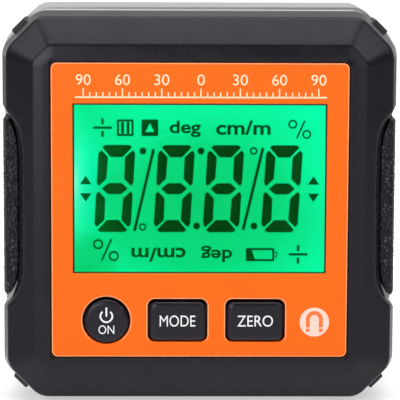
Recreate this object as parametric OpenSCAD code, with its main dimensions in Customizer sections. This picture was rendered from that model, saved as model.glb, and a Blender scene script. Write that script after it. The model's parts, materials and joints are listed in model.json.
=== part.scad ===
// Digital angle gauge: bevelled front case, aluminium frame ring, lit display, three keys, rear battery bay.
// Millimetres. X to the right, Y to the back, Z up, origin under the middle of the base.

/* [Overall] */
// Width and height of the square aluminium frame
body_w = 60; // [56:0.5:66]
// Depth from the face of the case to the back of the rear cover
body_d = 30; // [30:0.5:36]
// Number of flats in each softened corner
corner_steps = 4; // [2:1:8]

/* [Front case] */
// How far the case rim stands in from the frame at the sides
rim_in_x = 0.05; // [0:0.05:0.6]
// How far the case rim stands in from the frame at top and bottom
rim_in_z = 0.2; // [0:0.05:0.6]
// Width of the sloping bevel seen from the front
bevel_run = 4.05; // [2:0.05:6]
// Depth of the sloping bevel
bevel_depth = 2.5; // [1:0.1:5]
// How far the drafted edge wall leans out
draft_run = 0.8; // [0.2:0.05:1.5]
// Depth of the drafted edge wall
draft_depth = 3.7; // [1:0.1:6]
// Depth of the straight side wall behind the rim
side_depth = 6.4; // [3:0.1:8]
// Radius of the soft edge between the flat face and the bevel
face_edge_r = 1.7; // [0.4:0.1:3]
// Distance across the 45 degree corners, middle to rim
rim_diag = 38.47; // [36:0.05:42]
// Wall left behind the face panel
front_wall = 1.6; // [1:0.1:3]

/* [Face panel and display] */
// Side of the square face panel
panel_w = 44.7; // [40:0.1:48]
// Thickness of the face panel
panel_t = 0.9; // [0.5:0.1:2]
// Width of the display opening in the panel
window_w = 38.2; // [30:0.1:40]
// Height of the display opening in the panel
window_h = 25.8; // [20:0.1:30]
// Height of the opening's middle above the panel's middle
window_up = 3.3; // [0:0.1:6]

/* [Keys] */
// Distance of the key row below the panel's middle
key_down = 16.74; // [15:0.05:18]
// Radius of the round key
round_key_r = 3.2; // [2.5:0.05:4]
// Sideways place of the round key
round_key_x = -14.07; // [-16:0.05:-12]
// Width of a rectangular key
key_w = 8.35; // [6:0.05:10]
// Height of a rectangular key
key_h = 5.9; // [4:0.05:7]
// Sideways place of the left rectangular key
mode_key_x = -3.3; // [-5:0.05:-2]
// Sideways place of the right rectangular key
zero_key_x = 8.45; // [7:0.05:10]
// Clear gap round each key
key_gap = 0.34; // [0.25:0.01:0.5]
// How far the key crowns sit behind the front of the panel
key_set = 0.05; // [0:0.05:0.3]

/* [Side grips] */
// Depth of the scallop in each side of the case
scallop_depth = 3.4; // [2:0.1:4]
// Half height of the scallop
scallop_half = 15.97; // [12:0.05:20]
// How far the scallop wall leans out between the bevel and the grip pad
scallop_lean = 0.8; // [0.4:0.1:1.2]
// Half height of the grip pad
grip_half = 13.4; // [10:0.05:15]

/* [Frame and base] */
// Depth of the aluminium frame ring
ring_d = 13.5; // [10:0.1:18]
// Wall of the frame ring
ring_wall = 2.7; // [2:0.1:4]
// Thickness of the frame at the base
base_t = 5.4; // [4:0.1:8]
// Width of the V groove in the base
groove_w = 6; // [4:0.1:8]
// Depth of the V groove in the base
groove_d = 2.4; // [1:0.1:3]
// Diameter of each base magnet
magnet_d = 3; // [2:0.1:3.4]

/* [Battery bay] */
// Diameter of a battery cell
cell_d = 10.5; // [10:0.1:10.5]
// Length of a cell without its nub
cell_len = 43.7; // [43:0.1:44]
// Width of the battery door
door_w = 47; // [46:0.1:49]
// Height of the battery door
door_h = 22; // [21.6:0.1:23]
// Clear gap round the battery door
door_gap = 0.3; // [0.2:0.05:0.5]

/* [Hidden] */
$fn = 64;
eps = 0.01;
mid_z = body_w / 2;
y_face = -body_d / 2;
y_rear = body_d / 2;
y_bevel = y_face + bevel_depth;
y_rim = y_bevel + draft_depth;
y_ring = y_rim + side_depth;
y_cover = y_ring + ring_d;
rim_x = body_w / 2 - rim_in_x;
rim_z = body_w / 2 - rim_in_z;
rim_out = bevel_run + draft_run;
ring_diag = rim_diag + 0.43;

// Panel, wall and display layers from front to back
panel_gap = 0.15;
y_panel = y_face + 0.1;
y_key = y_panel + key_set;
y_wall = y_panel + panel_t;
y_inner = y_wall + front_wall;
lens_t = 0.7;
gasket_t = 0.3;
lcd_t = 1.7;
guide_t = 2;
y_gasket = y_wall + lens_t;
y_lcd = y_gasket + gasket_t;
y_guide = y_lcd + lcd_t;
glass_w = window_w + 2;
glass_h = window_h + 2;
glass_gap = 0.2;
glass_z = mid_z + window_up;
holder_w = 43.6;
holder_h = 31;
guide_h = glass_h - 4.4;

// Circuit board and the posts that carry it
y_board = -6.2;
board_t = 1.2;
board_x = 24.4;
board_z = 25;
board_diag = 27.4;
posts = [[-13, 22], [13, 22], [-21.2, -16.6], [18.6, -17.4]];
post_d = 4;
boss_at = 21.6;
boss_d = 5.4;

// Keys
key_z = mid_z - key_down;
key_travel = 0.5;
key_r = 0.95;
y_flange = y_inner + 0.2;
flange_t = 0.8;
flange_out = 0.8;
y_stem_end = -8.6;
switch_w = 4.6;
switch_t = 1.7;
plunger_d = 2.4;
plunger_len = 1.5;

// Inside of the case and ring
cavity_x = 25.9;
cavity_z = 25.8;
cavity_diag = 34.4;
lip_t = 1.1;
lip_d = 1.4;
ring_in = body_w / 2 - ring_wall;
ring_in_diag = 36;

// Side scallops and grips
scallop_steps = 44;
scallop_wall = 1.5;
scallop_ends = scallop_half + 0.9;
scallop_far = body_w / 2 + 8;
grip_bond = 0.02;
grip_bow = 0.5;
grip_steps = 32;
grip_edge = 0.25;
y_lean = y_face + 1;
y_grip = y_bevel + 1.2;

// Corner pads
pad_len = 2.7;
pad_proud = 0.62;
pad_sunk = 0.9;
y_pad = y_rim + 0.25;

// Rear cover, battery tray and door
cover_in = 0.6;
cover_bevel = 1.5;
tray_wall = 1.2;
bay_z = mid_z + 1;
bay_w = 50.6;
bay_h = 2 * cell_d + 0.9;
y_tray = 0;
y_cell = y_tray + tray_wall + 0.2 + cell_d / 2;
cell_pitch = cell_d + 0.3;
door_t = 1.8;
hinge_r = 1.1;
hinge_y = y_rear - hinge_r;
hinge_z = bay_z + door_h / 2 - hinge_r;
pin_d = 1;
pin_len = 1;
contact_t = 0.4;
contact_x = bay_w / 2 - contact_t;
cell_x = 0.65;
nub_d = 3.8;
nub_len = 0.8;
nub_soft = 0.2;
cell_crimp = 0.7;
spring_r = 3.4;
spring_wire = 0.6;
spring_turns = 3.5;
screw_head_d = 4.4;
screw_head_t = 1.7;
screw_d = 2.4;
y_head = y_rear - 2.4;

black = [0.055, 0.055, 0.06];
grey = [0.16, 0.16, 0.17];
metal = [0.72, 0.73, 0.74];

// Rings of points, all running the same way round, stacked into one closed solid
module loft(rings) {
    n = len(rings[0]);
    last = len(rings) - 1;
    front = [[for (j = [n - 1:-1:0]) j]];
    back = [[for (j = [0:n - 1]) last * n + j]];
    sides = [for (i = [0:last - 1]) for (j = [0:n - 1]) for (half = [0:1])
        let (a = i * n + j, b = i * n + (j + 1) % n, c = b + n, d = a + n)
        half == 0 ? [a, b, c] : [a, c, d]];
    polyhedron(points = [for (ring = rings) for (p = ring) p], faces = concat(front, sides, back));
}

// Corner centre where two neighbouring sides of an eight-sided outline meet
function oct_corner(i, hx, hz, diag, r) =
    let (
        d = [hx, diag, hz, diag, hx, diag, hz, diag],
        a = d[i] - r,
        b = (d[(i + 1) % 8] - r - a * cos(45)) / sin(45)
    )
    [a * cos(45 * i) - b * sin(45 * i), a * sin(45 * i) + b * cos(45 * i)];

// Eight-sided outline with softened corners, as flat points
function oct_points(hx, hz, diag, r) =
    [for (i = [0:7]) let (c = oct_corner(i, hx, hz, diag, r)) for (k = [0:corner_steps])
        let (turn = 45 * i + 45 * k / corner_steps)
        [c[0] + r * cos(turn), c[1] + r * sin(turn)]];

// The case outline grown outwards from the flat face, at one depth
function case_ring(out, y) =
    [for (p = oct_points(rim_x - rim_out + out, rim_z - rim_out + out, rim_diag - rim_out + out, 1.8 + 0.35 * out))
        [p[0], y, mid_z + p[1]]];

// Rounded rectangle at one depth
function box_ring(w, h, r, x, y, z) =
    [for (i = [0:3]) for (k = [0:corner_steps])
        let (
            turn = 90 * i + 90 * k / corner_steps,
            sx = (i == 0 || i == 3) ? 1 : -1,
            sz = (i < 2) ? 1 : -1
        )
        [x + sx * (w / 2 - r) + r * cos(turn), y, z + sz * (h / 2 - r) + r * sin(turn)]];

// Half width of the drafted rim at one depth
function rim_at(y) = rim_x - draft_run * max(0, y_rim - y) / draft_depth;

// Floor of the right scallop at one height: flat in the middle, running out in a curve at both ends
function scallop_at(z) = body_w / 2 - scallop_depth * (1 - pow(abs(z) / scallop_half, 7));

// Inner curve of the right grip pad: on the scallop floor, and rounded off at the ends
function grip_curve(inset) =
    [for (k = [0:grip_steps])
        let (t = 1 - 2 * k / grip_steps, z = t * (grip_half - inset))
        [scallop_at(z) + scallop_lean + grip_bond + inset + grip_bow * pow(t, 10), mid_z + z]];

// Outline of the right grip pad at one depth
function grip_ring(inset, y) =
    let (half = grip_half - inset, out = rim_at(y) - 0.7 * inset)
    concat(
        [[out, y, mid_z - half], [out, y, mid_z + half]],
        [for (p = grip_curve(inset)) [p[0], y, p[1]]]
    );

// Outline of the right scallop at one depth, with its floor moved outwards
function scallop_ring(out, y) =
    concat(
        [[scallop_far, y, mid_z - scallop_ends], [scallop_far, y, mid_z + scallop_ends]],
        [for (k = [0:scallop_steps])
            let (z = scallop_ends * (1 - 2 * k / scallop_steps))
            [scallop_at(z) + out, y, mid_z + z]]
    );

// A flat shape drawn in X and Z, pushed along Y between two depths
module along_y(y0, y1) {
    translate([0, y1, 0])
        rotate([90, 0, 0])
            linear_extrude(y1 - y0)
                children();
}

// Bar with a round section along Y
module rod_y(d, y0, y1, x, z) {
    translate([x, y0, z])
        rotate([-90, 0, 0])
            cylinder(d = d, h = y1 - y0);
}

// Rectangle with round corners, made from plain shapes
module soft_rect(w, h, r) {
    square([w - 2 * r, h], center = true);
    square([w, h - 2 * r], center = true);
    for (sx = [-1, 1], sz = [-1, 1])
        translate([sx * (w / 2 - r), sz * (h / 2 - r)])
            circle(r = r);
}

module oct_plate(hx, hz, diag, r, y0, y1) {
    translate([0, 0, mid_z])
        along_y(y0, y1)
            polygon(oct_points(hx, hz, diag, r));
}

// The three key openings, each made larger all round by the same amount
module key_openings(grow, y0, y1) {
    rod_y(2 * (round_key_r + grow), y0, y1, round_key_x, key_z);
    for (x = [mode_key_x, zero_key_x])
        translate([x, 0, key_z])
            along_y(y0, y1)
                soft_rect(key_w + 2 * grow, key_h + 2 * grow, key_r + grow);
}

module at_bosses() {
    for (sx = [-1, 1], sz = [-1, 1])
        translate([sx * boss_at, 0, mid_z + sz * boss_at])
            children();
}

// Outer skin: flat face, soft edge, bevel, drafted wall and straight side
module case_skin() {
    slope = atan(bevel_depth / bevel_run);
    tangent = face_edge_r * tan(slope / 2);
    edge_steps = 4;
    loft(concat(
        [for (k = [0:edge_steps]) let (turn = slope * k / edge_steps)
            case_ring(face_edge_r * sin(turn) - tangent, y_face + face_edge_r * (1 - cos(turn)))],
        [
            case_ring(bevel_run - 0.25, y_bevel - 0.15),
            case_ring(bevel_run + 0.05, y_bevel + 0.25),
            case_ring(rim_out - 0.07, y_rim - 0.35),
            case_ring(rim_out, y_rim),
            case_ring(rim_out, y_ring)
        ]
    ));
}

// Both side scallops: upright at the bevel, then leaning out to the floor that carries the grip pad
module scallops() {
    for (side = [0, 1])
        mirror([side, 0, 0])
            loft([
                scallop_ring(0, y_face - 1),
                scallop_ring(0, y_lean),
                scallop_ring(scallop_lean, y_grip),
                scallop_ring(scallop_lean, y_ring + 1)
            ]);
}

// Plain blocks that keep the cavity a wall's thickness away from the scallops
module scallop_walls() {
    for (side = [0, 1])
        mirror([side, 0, 0])
            loft([scallop_ring(-scallop_wall, y_inner - 1), scallop_ring(-scallop_wall, y_ring)]);
}

module case_cavity() {
    difference() {
        oct_plate(cavity_x, cavity_z, cavity_diag, 2, y_inner, y_ring + lip_d + 1);
        scallop_walls();
    }
}

module corner_pad_block(grow) {
    for (turn = [45:90:315])
        translate([0, 0, mid_z])
            rotate([0, turn, 0])
                translate([rim_diag - pad_sunk, y_pad - grow, -pad_len / 2 - grow])
                    cube([pad_sunk + pad_proud, y_ring - y_pad + 2 * grow, pad_len + 2 * grow]);
}

module front_case() {
    color(black)
        difference() {
            union() {
                difference() {
                    union() {
                        difference() {
                            case_skin();
                            scallops();
                        }
                        oct_plate(cavity_x + lip_t, cavity_z + lip_t, cavity_diag + lip_t, 2, y_ring - 0.5, y_ring + lip_d);
                    }
                    case_cavity();
                    translate([0, y_ring, -1])
                        translate([-body_w / 2, 0, 0])
                            cube([body_w, 5, base_t + 1]);
                }
                for (p = posts)
                    rod_y(post_d, y_inner - 0.3, y_board, p[0], mid_z + p[1]);
                at_bosses()
                    rod_y(boss_d, y_inner - 0.3, -0.2, 0, 0);
            }
            translate([0, 0, mid_z])
                along_y(y_face - 1, y_wall)
                    soft_rect(panel_w + 2 * panel_gap, panel_w + 2 * panel_gap, 1.05);
            translate([-glass_w / 2 - glass_gap, y_wall - 1, glass_z - glass_h / 2 - glass_gap])
                cube([glass_w + 2 * glass_gap, front_wall + 2, glass_h + 2 * glass_gap]);
            key_openings(key_gap, y_wall - 1, y_inner + 1);
            for (p = posts)
                rod_y(2, y_board - 4.5, y_board + 1, p[0], mid_z + p[1]);
            at_bosses()
                rod_y(screw_d + 0.1, -8, 0, 0, 0);
            corner_pad_block(0.02);
        }
}

module face_panel() {
    color([1, 0.24, 0.03])
        difference() {
            translate([0, 0, mid_z])
                along_y(y_panel, y_wall)
                    soft_rect(panel_w, panel_w, 0.9);
            translate([-window_w / 2, y_panel - 1, glass_z - window_h / 2])
                cube([window_w, panel_t + 2, window_h]);
            key_openings(key_gap, y_panel - 1, y_wall + 1);
        }
}

module display_window() {
    color([0.75, 0.95, 0.85, 0.5])
        translate([-glass_w / 2, y_wall, glass_z - glass_h / 2])
            cube([glass_w, lens_t, glass_h]);
}

module display_gasket() {
    color(black)
        difference() {
            translate([-glass_w / 2, y_gasket, glass_z - glass_h / 2])
                cube([glass_w, gasket_t, glass_h]);
            translate([-window_w / 2, y_gasket - 1, glass_z - window_h / 2])
                cube([window_w, gasket_t + 2, window_h]);
        }
}

module lcd_cell() {
    color([0.1, 0.75, 0.45])
        translate([-glass_w / 2, y_lcd, glass_z - glass_h / 2])
            cube([glass_w, lcd_t, glass_h]);
}

module light_guide() {
    color([0.6, 1, 0.8])
        translate([-glass_w / 2 + 0.4, y_guide, glass_z - guide_h / 2])
            cube([glass_w - 0.8, guide_t, guide_h]);
}

// Frame on the board that holds the glass, the light guide and the rubber contact strips
module display_holder() {
    color([0.85, 0.85, 0.83])
        difference() {
            translate([-holder_w / 2, y_inner + 0.1, glass_z - holder_h / 2])
                cube([holder_w, y_board - y_inner - 0.1, holder_h]);
            translate([-glass_w / 2 - 0.05, y_inner - 1, glass_z - glass_h / 2 - 0.05])
                cube([glass_w + 0.1, y_guide - y_inner + 1, glass_h + 0.1]);
            translate([-glass_w / 2 + 0.35, y_guide - 0.5, glass_z - guide_h / 2 - 0.05])
                cube([glass_w - 0.7, guide_t + 0.5, guide_h + 0.1]);
            for (side = [-1, 1])
                translate([-glass_w / 2 + 1, y_guide - 0.5, glass_z + side * (glass_h / 2 - 1) - 0.8])
                    cube([glass_w - 2, y_board - y_guide + 1, 1.6]);
            translate([-14, y_guide + guide_t - 0.5, glass_z - 8])
                cube([28, 10, 16]);
            for (side = [-1, 1])
                translate([side * (glass_w / 2 + 0.5) - 0.9, y_guide - 0.1, glass_z - 2.1])
                    cube([1.8, guide_t + 0.2, 4.2]);
        }
}

module contact_strips() {
    color([0.3, 0.3, 0.33])
        for (side = [-1, 1])
            translate([-glass_w / 2 + 1.1, y_guide, glass_z + side * (glass_h / 2 - 1) - 0.7])
                cube([glass_w - 2.2, y_board - y_guide, 1.4]);
}

module backlight_leds() {
    color([0.95, 0.95, 0.85])
        for (side = [-1, 1])
            translate([side * (glass_w / 2 + 0.5) - 0.75, y_guide, glass_z - 2])
                cube([1.5, guide_t, 4]);
}

module circuit_board() {
    color([0.05, 0.3, 0.15])
        difference() {
            oct_plate(board_x, board_z, board_diag, 1, y_board, y_board + board_t);
            for (p = posts)
                rod_y(2.2, y_board - 1, y_board + board_t + 1, p[0], mid_z + p[1]);
        }
}

module controller_chip() {
    color([0.05, 0.05, 0.05])
        translate([-4, y_board + board_t, glass_z - 1])
            cube([9, 1.2, 9]);
}

module sensor_chip() {
    color([0.12, 0.12, 0.12])
        translate([-15, y_board + board_t, mid_z - 14])
            cube([5, 1.1, 5]);
}

module board_screws() {
    color(metal)
        for (p = posts)
            union() {
                rod_y(3.6, y_board + board_t, y_board + board_t + 1.2, p[0], mid_z + p[1]);
                rod_y(1.9, y_board - 4, y_board + board_t + 0.1, p[0], mid_z + p[1]);
            }
}

// Push switch soldered to the front of the board behind each key
module key_switch(x) {
    color([0.2, 0.2, 0.2])
        difference() {
            translate([x - switch_w / 2, y_board - switch_t, key_z - switch_w / 2])
                cube([switch_w, switch_t, switch_w]);
            rod_y(plunger_d + 0.5, y_board - switch_t - 1, y_board - 0.2, x, key_z);
        }
}

module key_plunger(x) {
    color([0.75, 0.7, 0.6])
        rod_y(plunger_d, y_stem_end, y_stem_end + plunger_len, x, key_z);
}

// Pillowed cap edge: pairs of inset and depth behind the cap's crown
cap_edge = [[1.3, 0], [0.75, 0.05], [0.4, 0.16], [0.15, 0.34], [0, 0.62]];

module key_stem(x) {
    rod_y(3, y_flange + flange_t - 0.1, y_stem_end, x, key_z);
}

module rect_key(x) {
    color(grey)
        union() {
            loft(concat(
                [for (e = cap_edge)
                    box_ring(key_w - 2 * e[0], key_h - 2 * e[0], max(key_r - 0.4 * e[0], 0.3), x, y_key + e[1], key_z)],
                [box_ring(key_w, key_h, key_r, x, y_flange + 0.1, key_z)]
            ));
            translate([x, 0, key_z])
                along_y(y_flange, y_flange + flange_t)
                    soft_rect(key_w + 2 * flange_out, key_h + 2 * flange_out, key_r);
            key_stem(x);
        }
}

module power_key() {
    color(grey)
        union() {
            translate([round_key_x, y_key, key_z])
                rotate([-90, 0, 0])
                    rotate_extrude()
                        polygon(concat(
                            [[0, 0]],
                            [for (e = cap_edge) [round_key_r - e[0], e[1]]],
                            [[round_key_r, y_flange - y_key + 0.1], [0, y_flange - y_key + 0.1]]
                        ));
            rod_y(2 * (round_key_r + flange_out), y_flange, y_flange + flange_t, round_key_x, key_z);
            key_stem(round_key_x);
        }
}

module mode_key() {
    rect_key(mode_key_x);
}

module zero_key() {
    rect_key(zero_key_x);
}

module power_switch() {
    key_switch(round_key_x);
}

module mode_switch() {
    key_switch(mode_key_x);
}

module zero_switch() {
    key_switch(zero_key_x);
}

module power_plunger() {
    key_plunger(round_key_x);
}

module mode_plunger() {
    key_plunger(mode_key_x);
}

module zero_plunger() {
    key_plunger(zero_key_x);
}

// Rubber pad on the scallop floor, flat outside, rounded off at its ends, with a chamfered front edge
module grip_right() {
    color(black)
        loft([
            grip_ring(grip_edge, y_grip),
            grip_ring(0.3 * grip_edge, y_grip + 0.3 * grip_edge),
            grip_ring(0, y_grip + grip_edge),
            grip_ring(0, y_rim),
            grip_ring(0, y_ring - 0.05)
        ]);
}

module grip_left() {
    mirror([1, 0, 0])
        grip_right();
}

module corner_pads() {
    color(black)
        corner_pad_block(0);
}

// Aluminium frame with a thick base, a V groove for round bars and blind holes for the magnets
module frame_ring() {
    color(metal)
        difference() {
            oct_plate(body_w / 2, body_w / 2, ring_diag, 3.4, y_ring, y_cover);
            difference() {
                oct_plate(ring_in, ring_in, ring_in_diag, 2, y_ring - 1, y_cover + 1);
                translate([-body_w / 2, y_ring - 2, -1])
                    cube([body_w, ring_d + 4, base_t + 1]);
            }
            translate([-body_w / 2 - 1, (y_ring + y_cover) / 2, 0])
                rotate([90, 0, 90])
                    linear_extrude(body_w + 2)
                        polygon([[-groove_w / 2, -eps], [groove_w / 2, -eps], [0.6, groove_d], [-0.6, groove_d]]);
            at_magnets()
                cylinder(d = magnet_d + 0.06, h = 3.1);
        }
}

module at_magnets() {
    inset = (ring_d - groove_w) / 4;
    for (x = [-16, 16], y = [y_ring + inset, y_cover - inset])
        translate([x, y, -eps])
            children();
}

module base_magnets() {
    color([0.8, 0.8, 0.82])
        at_magnets()
            translate([0, 0, 0.1])
                cylinder(d = magnet_d, h = 3);
}

module cover_skin() {
    half = body_w / 2 - cover_in;
    diag = ring_diag - cover_in;
    steps = [[0, y_cover], [0, y_rear - cover_bevel], [cover_bevel, y_rear]];
    loft([for (s = steps)
        [for (p = oct_points(half - s[0], half - s[0], diag - s[0], 3)) [p[0], s[1], mid_z + p[1]]]]);
}

module door_opening(grow, y0, y1) {
    translate([-door_w / 2 - grow, y0, bay_z - door_h / 2 - grow])
        cube([door_w + 2 * grow, y1 - y0, door_h + 2 * grow]);
}

module rear_cover() {
    color(black)
        difference() {
            union() {
                cover_skin();
                translate([-bay_w / 2 - tray_wall, y_tray, bay_z - bay_h / 2 - tray_wall])
                    cube([bay_w + 2 * tray_wall, y_cover - y_tray + 0.5, bay_h + 2 * tray_wall]);
                at_bosses()
                    rod_y(boss_d, 0, y_cover + 0.5, 0, 0);
            }
            translate([-bay_w / 2, y_tray + tray_wall, bay_z - bay_h / 2])
                cube([bay_w, y_rear - door_t - 0.4 - y_tray - tray_wall, bay_h]);
            door_opening(door_gap, y_rear - door_t - 0.5, y_rear + 1);
            for (side = [-1, 1])
                translate([side * (door_w / 2 + door_gap - 0.1), hinge_y, hinge_z])
                    rotate([0, side * 90, 0])
                        cylinder(d = pin_d + 0.3, h = pin_len + 0.5);
            at_bosses() {
                rod_y(screw_d + 0.3, -1, y_rear, 0, 0);
                rod_y(screw_head_d + 0.5, y_head, y_rear + 1, 0, 0);
            }
            translate([0, y_rear + 4.2, bay_z - door_h / 2 - 1])
                sphere(r = 5.4);
        }
}

// Lid of the battery bay: beaded hinge edge with end pins, latch tongue and thumb grooves
module battery_door() {
    low_z = bay_z - door_h / 2;
    color(black)
        difference() {
            union() {
                translate([-door_w / 2, y_rear - door_t, low_z])
                    cube([door_w, door_t, door_h - hinge_r]);
                translate([-door_w / 2, hinge_y, hinge_z])
                    rotate([0, 90, 0])
                        cylinder(r = hinge_r, h = door_w);
                translate([-door_w / 2 - pin_len, hinge_y, hinge_z])
                    rotate([0, 90, 0])
                        cylinder(d = pin_d, h = door_w + 2 * pin_len);
                translate([-4, y_rear - door_t - 2, low_z + 0.7])
                    cube([8, 2.1, 0.8]);
            }
            for (k = [0:4])
                translate([-5, y_rear, low_z + 2.2 + 1.1 * k])
                    rotate([0, 90, 0])
                        cylinder(r = 0.35, h = 10);
        }
}

// Cell lying along X with its nub to the right: flat end, crimped shoulders and nub
module battery_cell() {
    r = cell_d / 2;
    nub_r = nub_d / 2;
    tip = cell_len + nub_len;
    translate([cell_x - cell_len / 2, y_cell, 0])
        rotate([0, 90, 0])
            rotate_extrude()
                polygon([
                    [0, 0], [r - cell_crimp, 0], [r, cell_crimp],
                    [r, cell_len - cell_crimp], [r - cell_crimp, cell_len],
                    [nub_r, cell_len], [nub_r, tip - nub_soft], [nub_r - nub_soft, tip], [0, tip]
                ]);
}

module upper_cell() {
    color([0.2, 0.35, 0.3])
        translate([0, 0, bay_z + cell_pitch / 2])
            battery_cell();
}

module lower_cell() {
    color([0.2, 0.35, 0.3])
        translate([0, 0, bay_z - cell_pitch / 2])
            mirror([1, 0, 0])
                battery_cell();
}

// Sheet contact on the right wall of the bay, with a raised button where the cell's nub touches
module contact_plate(z, h, buttons) {
    nub_end = cell_x + cell_len / 2 + nub_len;
    translate([contact_x, y_cell - 4.2, z - h / 2])
        cube([contact_t, 8.4, h]);
    for (b = buttons)
        translate([nub_end, y_cell, b])
            rotate([0, 90, 0])
                cylinder(d1 = 3.4, d2 = 5, h = contact_x - nub_end + 0.1);
}

module positive_contact() {
    z = bay_z + cell_pitch / 2;
    color(metal)
        contact_plate(z, 8.6, [z]);
}

module negative_contact() {
    color(metal)
        contact_plate(bay_z - cell_pitch / 2, 8.6, []);
}

module bridge_contact() {
    color(metal)
        mirror([1, 0, 0])
            contact_plate(bay_z, cell_pitch + 8.6, [bay_z - cell_pitch / 2]);
}

// Cone-shaped wire spring from the right contact to the cell's flat end
module cell_spring(z) {
    sides = 6;
    steps = 14 * spring_turns;
    start = contact_x - spring_wire / 2;
    reach = start - (cell_len / 2 - cell_x) - spring_wire / 2;
    rings = [for (i = [0:steps])
        let (
            turn = 360 * spring_turns * i / steps,
            r = spring_r - 1.3 * i / steps,
            x = start - reach * i / steps
        )
        [for (k = [0:sides - 1])
            let (
                a = 360 * k / sides,
                rr = r + spring_wire / 2 * cos(a)
            )
            [x + spring_wire / 2 * sin(a), y_cell + rr * cos(turn), z + rr * sin(turn)]]];
    loft(rings);
}

module negative_spring() {
    color(metal)
        cell_spring(bay_z - cell_pitch / 2);
}

module bridge_spring() {
    color(metal)
        mirror([1, 0, 0])
            cell_spring(bay_z + cell_pitch / 2);
}

module case_screws() {
    color(metal)
        at_bosses()
            union() {
                rod_y(screw_head_d, y_head, y_head + screw_head_t, 0, 0);
                rod_y(screw_d, -7.5, y_head + 0.1, 0, 0);
            }
}

front_case();
face_panel();
display_window();
display_gasket();
lcd_cell();
light_guide();
display_holder();
contact_strips();
backlight_leds();
circuit_board();
controller_chip();
sensor_chip();
board_screws();
power_switch();
mode_switch();
zero_switch();
power_plunger();
mode_plunger();
zero_plunger();
power_key();
mode_key();
zero_key();
grip_left();
grip_right();
corner_pads();
frame_ring();
base_magnets();
rear_cover();
battery_door();
upper_cell();
lower_cell();
bridge_contact();
positive_contact();
negative_contact();
bridge_spring();
negative_spring();
case_screws();
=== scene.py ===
import json
import math

import bmesh
import bpy
from mathutils import Matrix, Quaternion, Vector, noise


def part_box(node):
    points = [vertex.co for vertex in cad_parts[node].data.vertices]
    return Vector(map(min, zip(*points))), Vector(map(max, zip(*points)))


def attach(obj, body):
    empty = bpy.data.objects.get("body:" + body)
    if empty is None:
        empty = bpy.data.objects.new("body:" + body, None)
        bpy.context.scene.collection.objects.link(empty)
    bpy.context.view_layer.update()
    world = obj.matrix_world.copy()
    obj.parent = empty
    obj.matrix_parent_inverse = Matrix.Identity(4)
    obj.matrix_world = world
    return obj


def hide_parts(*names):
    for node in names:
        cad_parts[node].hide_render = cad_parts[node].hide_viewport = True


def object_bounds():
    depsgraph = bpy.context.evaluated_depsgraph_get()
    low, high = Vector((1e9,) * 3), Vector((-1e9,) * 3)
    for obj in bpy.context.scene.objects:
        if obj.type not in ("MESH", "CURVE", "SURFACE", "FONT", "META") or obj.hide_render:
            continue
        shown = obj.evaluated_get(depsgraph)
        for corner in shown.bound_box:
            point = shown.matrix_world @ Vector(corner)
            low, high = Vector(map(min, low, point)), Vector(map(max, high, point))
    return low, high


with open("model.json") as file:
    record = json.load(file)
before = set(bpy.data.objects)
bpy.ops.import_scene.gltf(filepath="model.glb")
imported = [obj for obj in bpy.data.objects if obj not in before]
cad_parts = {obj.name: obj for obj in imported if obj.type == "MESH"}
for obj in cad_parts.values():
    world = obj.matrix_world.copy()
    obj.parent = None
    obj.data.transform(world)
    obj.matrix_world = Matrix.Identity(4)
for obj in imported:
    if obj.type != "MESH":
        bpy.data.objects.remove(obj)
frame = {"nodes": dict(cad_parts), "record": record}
cad_low, cad_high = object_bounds()
nodes = frame["nodes"]

# Lengths are millimetres, and flat points are (across, height above the panel's middle), until a mesh is made
MM = 0.001
GAUGE = "gauge_body"
DOOR = "door_body"
KEY_WORDS = {"power": "ON", "mode": "MODE", "zero": "ZERO"}


def extent(node):
    """Lowest and highest corner of a CAD node, in millimetres."""
    low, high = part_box(node)
    return low / MM, high / MM


# Places read from the frame
case_low, case_high = extent("front_case")
panel_low, panel_high = extent("face_panel")
window_low, window_high = extent("display_window")
grip_low, grip_high = extent("grip_right")
screw_low, screw_high = extent("case_screws")
MID_Z = (panel_low.z + panel_high.z) / 2
FACE_Y = case_low.y
PANEL_Y = panel_low.y
WALL_Y = panel_high.y
GLASS_Y = extent("lcd_cell")[0].y
BOARD_Y = extent("circuit_board")[0].y
RING_Y = extent("frame_ring")[0].y

# Front case, from its flat face over a lead-in facet and the bevel to the drafted rim
RIM_X = case_high.x
RIM_Z = case_high.z - MID_Z
RIM_DIAG = 38.47
FACE_RING = -2.0
LEAD_IN = -1.3
LEAD_DROP = 0.2
BEVEL_RUN = 4.05
BEVEL_BULGE = 0.05
BEVEL_Y = FACE_Y + 2.5
RIM_OUT = BEVEL_RUN + 0.8
RIM_Y = BEVEL_Y + 3.7
CORNER_R = 1.8
CORNER_GROWTH = 0.35
CORNER_STEPS = 10
SIDE_STEPS = (130, 8, 12, 8, 130, 8, 12, 8)
PROFILE_STEP = 0.17

# Side scallops
SCALLOP_DEPTH = 3.4
SCALLOP_HALF = 15.97
SCALLOP_POWER = 7
SCALLOP_LEAN = 0.8
SCALLOP_WALL = 1.5
SCALLOP_SOFT = 0.4
LEAN_Y = FACE_Y + 1

# Inside of the case: cavity (half sizes, diagonal, corner), posts for the board and bosses for the screws
WALL_BACK = WALL_Y + 1.6
CAVITY = (25.9, 25.8, 34.4, 2.0)
POSTS = ((-13, 22), (13, 22), (-21.2, -16.6), (18.6, -17.4))
POST_R = 2.0
POST_HOLE_R = 1.0
POST_ROOT = 0.3
HEAD_R = 2.2
BOSS_AT = screw_high.x - HEAD_R
BOSS_R = 2.7
BOSS_HOLE_R = 1.25
BOSS_END = -0.2

# Panel and display opening: WINDOW is the place of its middle, its width and its height
PANEL_W = panel_high.x - panel_low.x
PANEL_R = 0.9
PANEL_GAP = 0.15
PANEL_EDGE = 0.19
LIP = 0.4
LIP_STEP = 0.3
WINDOW = (0, (window_low.z + window_high.z) / 2 - MID_Z, 38.2, 25.8)
WINDOW_R = 0.2
WINDOW_GAP = 0.2

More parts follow.
